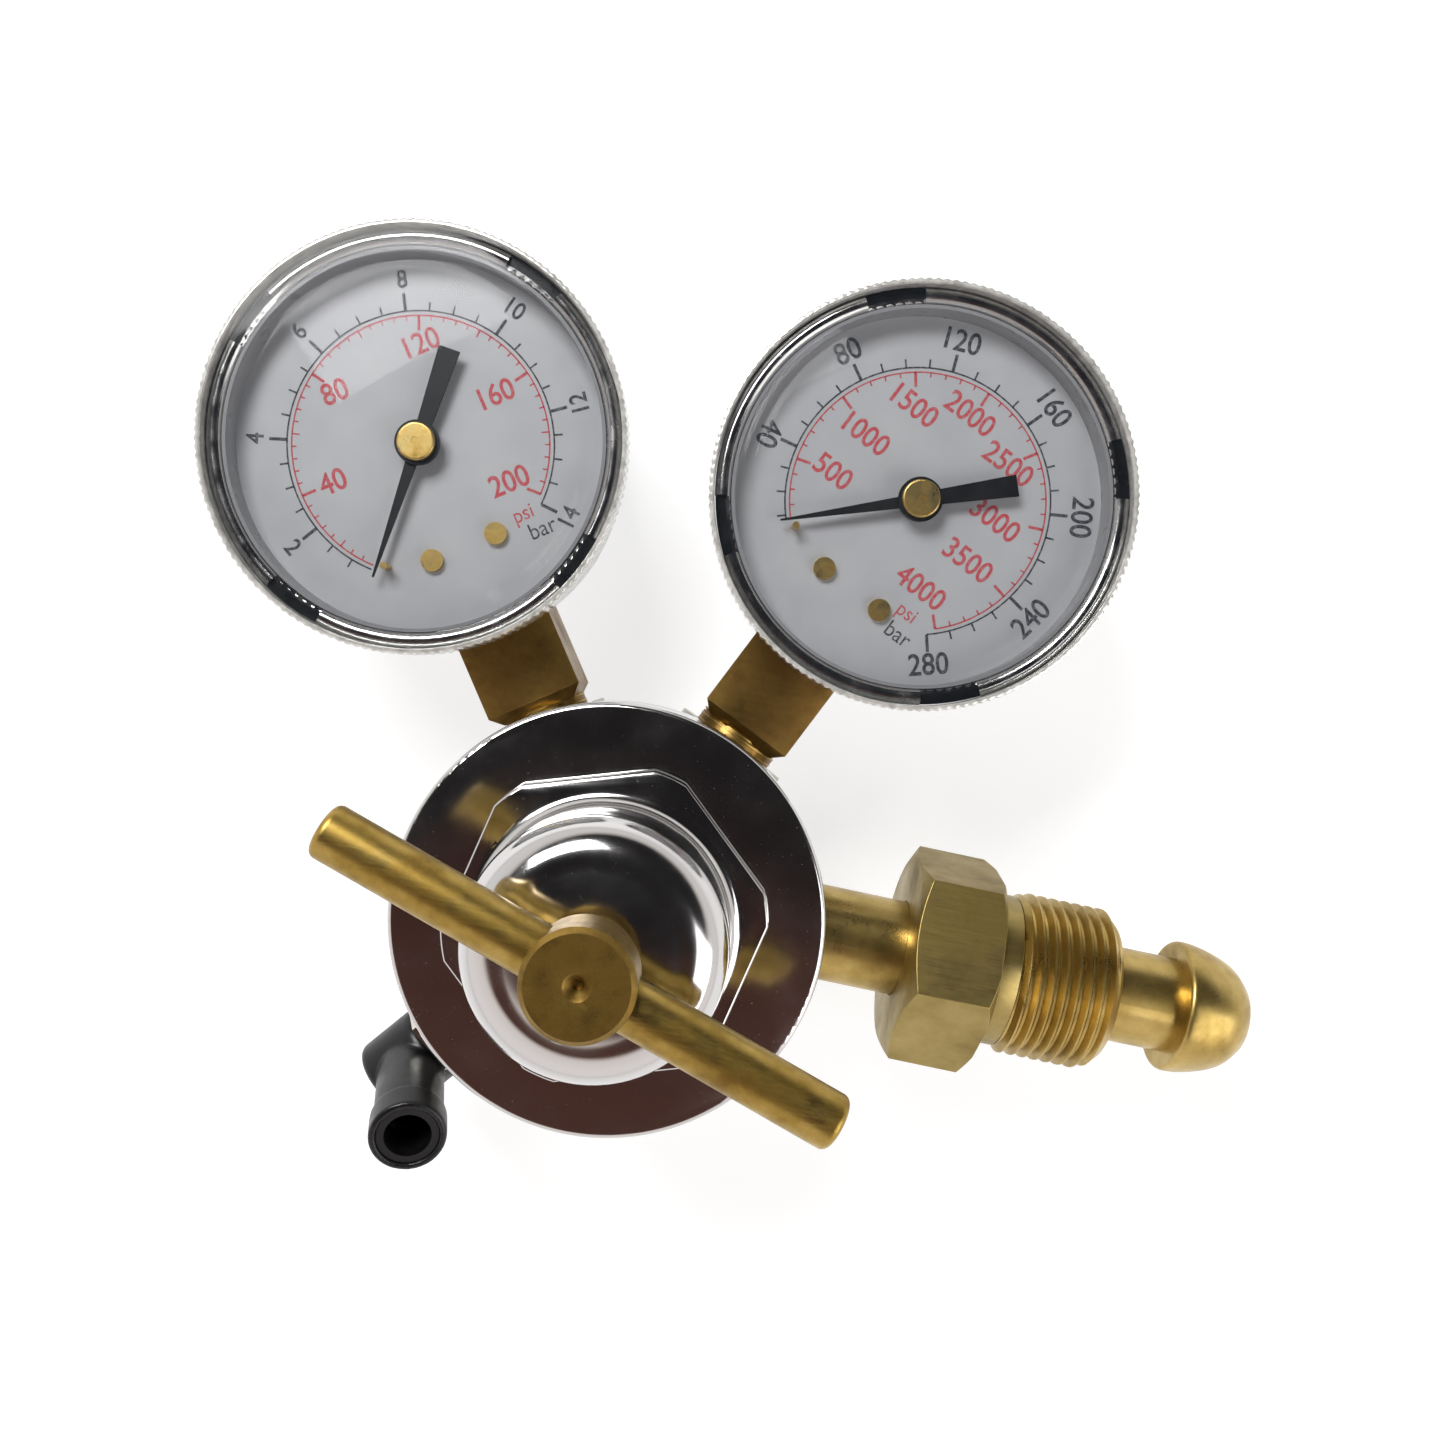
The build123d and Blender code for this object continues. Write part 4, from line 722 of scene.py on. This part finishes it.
class REGULATOR_OT_lenses(bpy.types.Operator):
    """Moulds each gauge's lens: a clear stepped window and a ribbed gripping edge"""

    bl_idname = "regulator.lenses"
    bl_label = "Gauge lenses"

    WINDOW = (
        (0.0, 0.0), (22.6, 0.0), (24.0, -0.08), (24.75, -0.5), (25.15, -1.15), (25.6, -1.5),
        (26.2, -1.62), (28.6, -1.6), (29.15, -1.65), (29.15, -2.5), (25.9, -2.5), (24.9, -2.2),
        (24.1, -1.3), (23.2, -0.95), (0.0, -0.9),
    )

    def window(self, place):
        """Clear disc with its raised step, lying on the case's rim."""
        work = turned(self.WINDOW, steps=160)
        bmesh.ops.transform(work, matrix=place.matrix(place.lens_high.z), verts=work.verts)
        recalculate(work)
        made = piece_from(work, f"{place.name}_lens_window", finish("clear_polycarbonate"),
                          "regulator", 50)
        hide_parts(f"{place.name}_lens")

    def edge(self, place, looks):
        """Ribbed skirt round the window."""
        ribs, depth = looks.lens_ribs, looks.rib_depth / MM
        outer, top, low = place.lens_r / MM, -1.35, (place.lens_low.z - place.lens_high.z) / MM
        outline = (
            (29.15, top - 0.25), (29.35, top), (outer - 0.35, top), (outer - 0.1, top - 0.12),
            (outer, top - 0.4), (outer, low + 0.3), (outer - 0.25, low), (29.2, low), (29.15, top - 0.25),
        )
        work = turned(outline, steps=ribs * 4)
        for vert in work.verts:
            radius = vert.co.xy.length / MM
            if radius > outer - 0.5:
                angle = math.atan2(vert.co.y, vert.co.x)
                wave = 0.5 + 0.5 * math.cos(angle * ribs)
                vert.co.xy *= (radius - depth * wave) / radius
        bmesh.ops.transform(work, matrix=place.matrix(place.lens_high.z), verts=work.verts)
        recalculate(work)
        piece_from(work, f"{place.name}_lens_edge", finish("ribbed_polycarbonate"),
                   "regulator", 40)

    def execute(self, context):
        for place in GAUGES.values():
            self.window(place)
            self.edge(place, context.scene.regulator_looks)
        return {"FINISHED"}


THREAD_PROFILE = ((0.0, 0), (0.10, 0), (0.43, 1), (0.57, 1), (0.90, 0), (1.0, 0))
BORE_SHARE = 0.7


def helix_thread(crest_r, root_r, pitch, start, end, nose_chamfer, tail_chamfer, steps=72):
    """Threaded sleeve round Z from start to end (metres): one profile spun and lifted as a screw."""
    work = bmesh.new()
    points = [
        work.verts.new((crest_r if crest else root_r, 0, start - 1.5 * pitch + share * pitch))
        for share, crest in THREAD_PROFILE
    ]
    edges = [work.edges.new(pair) for pair in zip(points, points[1:])]
    turns = math.ceil((end - start) / pitch) + 2
    bmesh.ops.spin(
        work, geom=points + edges, cent=(0, 0, 0), axis=(0, 0, 1), dvec=(0, 0, pitch / steps),
        angle=2 * math.pi * turns, steps=steps * turns, use_merge=False, use_duplicate=False,
    )
    bmesh.ops.remove_doubles(work, verts=work.verts, dist=pitch * 0.004)
    for height, normal in ((start, (0, 0, -1)), (end, (0, 0, 1))):
        cut = bmesh.ops.bisect_plane(
            work, geom=work.verts[:] + work.edges[:] + work.faces[:],
            plane_co=(0, 0, height), plane_no=normal, clear_outer=True,
        )
        rim = [item for item in cut["geom_cut"] if isinstance(item, bmesh.types.BMEdge)]
        grown = bmesh.ops.extrude_edge_only(work, edges=rim)["geom"]
        for vert in (item for item in grown if isinstance(item, bmesh.types.BMVert)):
            vert.co.xy = vert.co.xy.normalized() * root_r * BORE_SHARE
    for vert in work.verts:
        limit = min(
            crest_r - max(0.0, nose_chamfer - (end - vert.co.z)),
            crest_r - max(0.0, tail_chamfer - (vert.co.z - start)),
        )
        if vert.co.xy.length > limit:
            vert.co.xy = vert.co.xy.normalized() * limit
    recalculate(work)
    return work


def stand_along(work, origin, direction):
    """Turns a piece built round Z so that its axis runs along a direction from a point."""
    turn = UP.rotation_difference(Vector(direction).normalized()).to_matrix().to_4x4()
    bmesh.ops.transform(work, matrix=Matrix.Translation(origin) @ turn, verts=work.verts)


def cut_away(work, point, outward):
    """Removes what lies beyond a plane and closes the cut."""
    cut = bmesh.ops.bisect_plane(
        work, geom=work.verts[:] + work.edges[:] + work.faces[:],
        plane_co=point, plane_no=outward, clear_outer=True,
    )
    rim = [item for item in cut["geom_cut"] if isinstance(item, bmesh.types.BMEdge)]
    bmesh.ops.triangle_fill(work, use_beauty=True, edges=rim)


def dressed_copy(node_name, key, width_mm, angle=32):
    """Copy of a CAD node with softened edges, standing for it."""
    work = cad_copy(node_name)
    made = piece_from(work, f"{node_name}_finished", finish(key), "regulator", 30)
    soften(made, width_mm, angle)
    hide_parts(node_name)


class REGULATOR_OT_inlet_nut(bpy.types.Operator):
    """Builds the inlet nut: chamfered hexagon and neck, with a real helical thread"""

    bl_idname = "regulator.inlet_nut"
    bl_label = "Inlet nut"

    NECK_SHARE = 0.5223
    CREST_R, ROOT_DEPTH = 0.01225, 0.00105
    NOSE_CHAMFER, TAIL_CHAMFER = 0.0017, 0.0009
    CUT_LAP = 0.0001

    def execute(self, context):
        looks = context.scene.regulator_looks
        low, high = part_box("inlet_nut")
        neck_end = low.x + (high.x - low.x) * self.NECK_SHARE
        hexagon = cad_copy("inlet_nut")
        cut_away(hexagon, (neck_end - self.CUT_LAP, 0, PORT_Z), (1, 0, 0))
        made = piece_from(hexagon, "inlet_nut_hexagon", finish("nut_brass"), "inlet_nut", 30)
        soften(made, looks.edge_break)
        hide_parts("inlet_nut")
        thread = helix_thread(
            self.CREST_R, self.CREST_R - self.ROOT_DEPTH, looks.thread_pitch, 0.0, high.x - neck_end,
            self.NOSE_CHAMFER, self.TAIL_CHAMFER,
        )
        stand_along(thread, (neck_end, 0, PORT_Z), (1, 0, 0))
        piece_from(thread, "inlet_nut_thread", finish("inlet_brass"), "inlet_nut", 40)
        return {"FINISHED"}


class REGULATOR_OT_screw(bpy.types.Operator):
    """Builds the T-handle's screw: drilled head and a threaded shank"""

    bl_idname = "regulator.screw"
    bl_label = "Adjusting screw"

    HEAD_DROP, CUT_LAP, THREAD_LAP, HEAD_EDGE = 0.0031, 0.00002, 0.00005, 0.12
    CREST_R, ROOT_R, PITCH, END_CHAMFER = 0.0049, 0.0042, 0.0015, 0.0008

    def execute(self, context):
        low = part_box("adjusting_screw")[0]
        bar_low, bar_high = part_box("handle_bar")
        head_low = (bar_low.z + bar_high.z) / 2 - self.HEAD_DROP
        head = cad_copy("adjusting_screw")
        cut_away(head, (0, 0, head_low + self.CUT_LAP), (0, 0, -1))
        made = piece_from(head, "adjusting_screw_head", finish("head_brass"), "handle", 30)
        soften(made, self.HEAD_EDGE)
        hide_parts("adjusting_screw")
        shank = helix_thread(
            self.CREST_R, self.ROOT_R, self.PITCH, low.z, head_low + self.THREAD_LAP, 0.0, self.END_CHAMFER)
        piece_from(shank, "adjusting_screw_thread", finish("handle_brass"), "handle", 40)
        return {"FINISHED"}


class REGULATOR_OT_bonnet(bpy.types.Operator):
    """Plates the bonnet: mirror chrome with softened hexagon corners"""

    bl_idname = "regulator.bonnet"
    bl_label = "Bonnet"

    def execute(self, context):
        dressed_copy("bonnet", "chrome_plate", 0.22, 40)
        return {"FINISHED"}


class REGULATOR_OT_stems(bpy.types.Operator):
    """Finishes the gauges' square brass stems and the pipe thread under each"""

    bl_idname = "regulator.stems"
    bl_label = "Gauge stems"

    THREAD_PITCH, CREST_R, ROOT_DEPTH, STEPS_PER_TURN = 0.00094, 0.0066, 0.0005, 48
    THREAD_START, THREAD_END = 0.0278, 0.0302

    def execute(self, context):
        for place in GAUGES.values():
            dressed_copy(f"{place.name}_socket", "stem_brass", 0.3)
            thread = helix_thread(
                self.CREST_R, self.CREST_R - self.ROOT_DEPTH, self.THREAD_PITCH, 0.0,
                self.THREAD_END - self.THREAD_START, 0.0, 0.0, self.STEPS_PER_TURN)
            stand_along(thread, place.out * self.THREAD_START + UP * PORT_Z, place.out)
            piece_from(thread, f"{place.name}_stem_thread", finish("inlet_brass"), "regulator",
                       40)
        return {"FINISHED"}


class REGULATOR_OT_elbow(bpy.types.Operator):
    """Moulds the push-in elbow, its tube socket left open, and finishes its plated stud"""

    bl_idname = "regulator.elbow"
    bl_label = "Push-in elbow"

    def execute(self, context):
        work = cad_copy("elbow_body")
        made = piece_from(work, "elbow_moulding", finish("elbow_nylon"), "elbow")
        remesh = made.modifiers.new("moulded", "REMESH")
        remesh.mode, remesh.voxel_size, remesh.use_smooth_shade = "VOXEL", 0.22 * MM, True
        smooth = made.modifiers.new("draft", "SMOOTH")
        smooth.factor, smooth.iterations = 0.6, 8
        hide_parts("elbow_body")
        dressed_copy("outlet_stud", "stud_nickel", 0.25)
        return {"FINISHED"}


class REGULATOR_OT_body(bpy.types.Operator):
    """Finishes the nickel-plated body behind the bonnet"""

    bl_idname = "regulator.body"
    bl_label = "Body"

    def execute(self, context):
        dressed_copy("regulator_body", "body_nickel", 0.4, 40)
        return {"FINISHED"}


class REGULATOR_OT_plain_finishes(bpy.types.Operator):
    """Gives every CAD part that keeps its own shape its finish"""

    bl_idname = "regulator.plain_finishes"
    bl_label = "Plain finishes"

    def execute(self, context):
        for node_name, key in CAD_FINISHES.items():
            dress(node_name, key)
        for place in GAUGES.values():
            for part, key in GAUGE_FINISHES.items():
                dress(f"{place.name}_{part}", key)
        for made in NODES.values():
            shade(made, 30)
        return {"FINISHED"}


# ---------------------------------------------------------------- stage
VIEW_AXES = Matrix((
    (0.97796, 0.20868, 0.00673),
    (-0.20839, 0.97757, -0.03034),
    (-0.01291, 0.02827, 0.99952),
))
CAMERA_PLACE = Vector((0.00733, 0.03352, 0.190))
LENS_MM, SENSOR_MM, CLIP_START = 31.14, 36.0, 0.01
FLOOR_HALF, FLOOR_GAP, FILL_SHARE = 2.0, 0.00005, 0.4


def soft_box(name, place, target, size, watts):
    """Rectangular area light aimed at a point."""
    data = bpy.data.lights.new(name, "AREA")
    data.shape, data.size, data.size_y, data.energy = "RECTANGLE", size[0], size[1], watts
    lamp = bpy.data.objects.new(name, data)
    lamp.location = place
    lamp.rotation_euler = (Vector(target) - Vector(place)).to_track_quat("-Z", "Y").to_euler()
    bpy.context.scene.collection.objects.link(lamp)


class REGULATOR_OT_stage(bpy.types.Operator):
    """Sets the camera, the pale floor, the room's tone and the soft lights"""

    bl_idname = "regulator.stage"
    bl_label = "Stage"

    def room(self, context):
        """White horizon and floor glow; a dark room overhead, warmer towards the front."""
        world = bpy.data.worlds.new("room")
        context.scene.world = world
        world.use_nodes = True
        tree = world.node_tree
        tree.nodes.clear()
        place = node(tree, "ShaderNodeTexCoord")
        parts = node(tree, "ShaderNodeSeparateXYZ", links={0: place.outputs["Generated"]})
        side = spread(tree, parts.outputs["Y"], 0.0, 1.0, -0.36, 0.0)
        overhead = ramp(
            tree, side, [(0.0, "#583b34"), (0.42, "#4d332d"), (0.66, "#2b2525"), (1.0, "#242325")])
        leaning = parts.outputs["Z"]
        for axis, lean in (("X", 0.10), ("Y", 0.36)):
            leaning = node(
                tree, "ShaderNodeMath", {"operation": "MULTIPLY_ADD"}, {1: lean},
                {0: parts.outputs[axis], 2: leaning},
            ).outputs[0]
        height = ramp(
            tree, leaning,
            [(0.0, "#ffffff"), (0.46, "#f4f2ef"), (0.56, "#b9b4ae"), (0.61, "#1c1b1a"), (0.68, "#000000")],
        )
        add = node(tree, "ShaderNodeMix", {"data_type": "RGBA", "blend_type": "ADD"}, {0: 1.0})
        tree.links.new(height, add.inputs[6])
        tree.links.new(overhead, add.inputs[7])
        back = node(tree, "ShaderNodeBackground", inputs={"Strength": 1.0}, links={"Color": add.outputs[2]})
        out = node(tree, "ShaderNodeOutputWorld")
        tree.links.new(back.outputs[0], out.inputs[0])

    def execute(self, context):
        scene, looks = context.scene, context.scene.regulator_looks
        data = bpy.data.cameras.new("camera")
        data.sensor_width, data.lens, data.clip_start = SENSOR_MM, LENS_MM, CLIP_START
        camera = bpy.data.objects.new("camera", data)
        camera.matrix_world = Matrix.Translation(CAMERA_PLACE + UP * PORT_Z) @ VIEW_AXES.transposed().to_4x4()
        scene.collection.objects.link(camera)
        scene.camera = camera
        scene.view_settings.view_transform = "Standard"
        scene.view_settings.look = "None"
        self.room(context)
        work = bmesh.new()
        bmesh.ops.create_grid(work, x_segments=1, y_segments=1, size=FLOOR_HALF)
        mesh = bpy.data.meshes.new("floor")
        work.to_mesh(mesh)
        work.free()
        mesh.materials.append(finish("stage_paper"))
        floor = bpy.data.objects.new("floor", mesh)
        floor.location.z = CAD_BOUNDS[0][2] - FLOOR_GAP
        scene.collection.objects.link(floor)
        soft_box("key", (-0.22, 0.30, 0.42), (0, 0.03, 0.02), (0.30, 0.18), looks.key_light)
        soft_box("fill", (0.40, -0.10, 0.35), (0, 0.03, 0.02), (0.35, 0.35), looks.key_light * FILL_SHARE)
        return {"FINISHED"}


class REGULATOR_PT_panel(bpy.types.Panel):
    """Lists the regulator's settings and its steps"""

    bl_label = "Gas Regulator"
    bl_idname = "REGULATOR_PT_panel"
    bl_space_type = "VIEW_3D"
    bl_region_type = "UI"
    bl_category = "Regulator"

    def draw(self, context):
        looks = context.scene.regulator_looks
        for name in RegulatorLooks.__annotations__:
            self.layout.prop(looks, name)
        for operator in STEPS:
            self.layout.operator(operator.bl_idname)


STEPS = (
    REGULATOR_OT_stage,
    REGULATOR_OT_plain_finishes,
    REGULATOR_OT_body,
    REGULATOR_OT_bonnet,
    REGULATOR_OT_screw,
    REGULATOR_OT_inlet_nut,
    REGULATOR_OT_stems,
    REGULATOR_OT_elbow,
    REGULATOR_OT_rims,
    REGULATOR_OT_lenses,
    REGULATOR_OT_dial_print,
)
CLASSES = (RegulatorLooks, *STEPS, REGULATOR_PT_panel)


def register():
    for cls in CLASSES:
        bpy.utils.register_class(cls)
    bpy.types.Scene.regulator_looks = bpy.props.PointerProperty(type=RegulatorLooks)


def unregister():
    del bpy.types.Scene.regulator_looks
    for cls in reversed(CLASSES):
        bpy.utils.unregister_class(cls)


def main():
    register()
    for operator in STEPS:
        family, step = operator.bl_idname.split(".")
        getattr(getattr(bpy.ops, family), step)()
    bpy.context.view_layer.update()


if __name__ == "__main__":
    main()
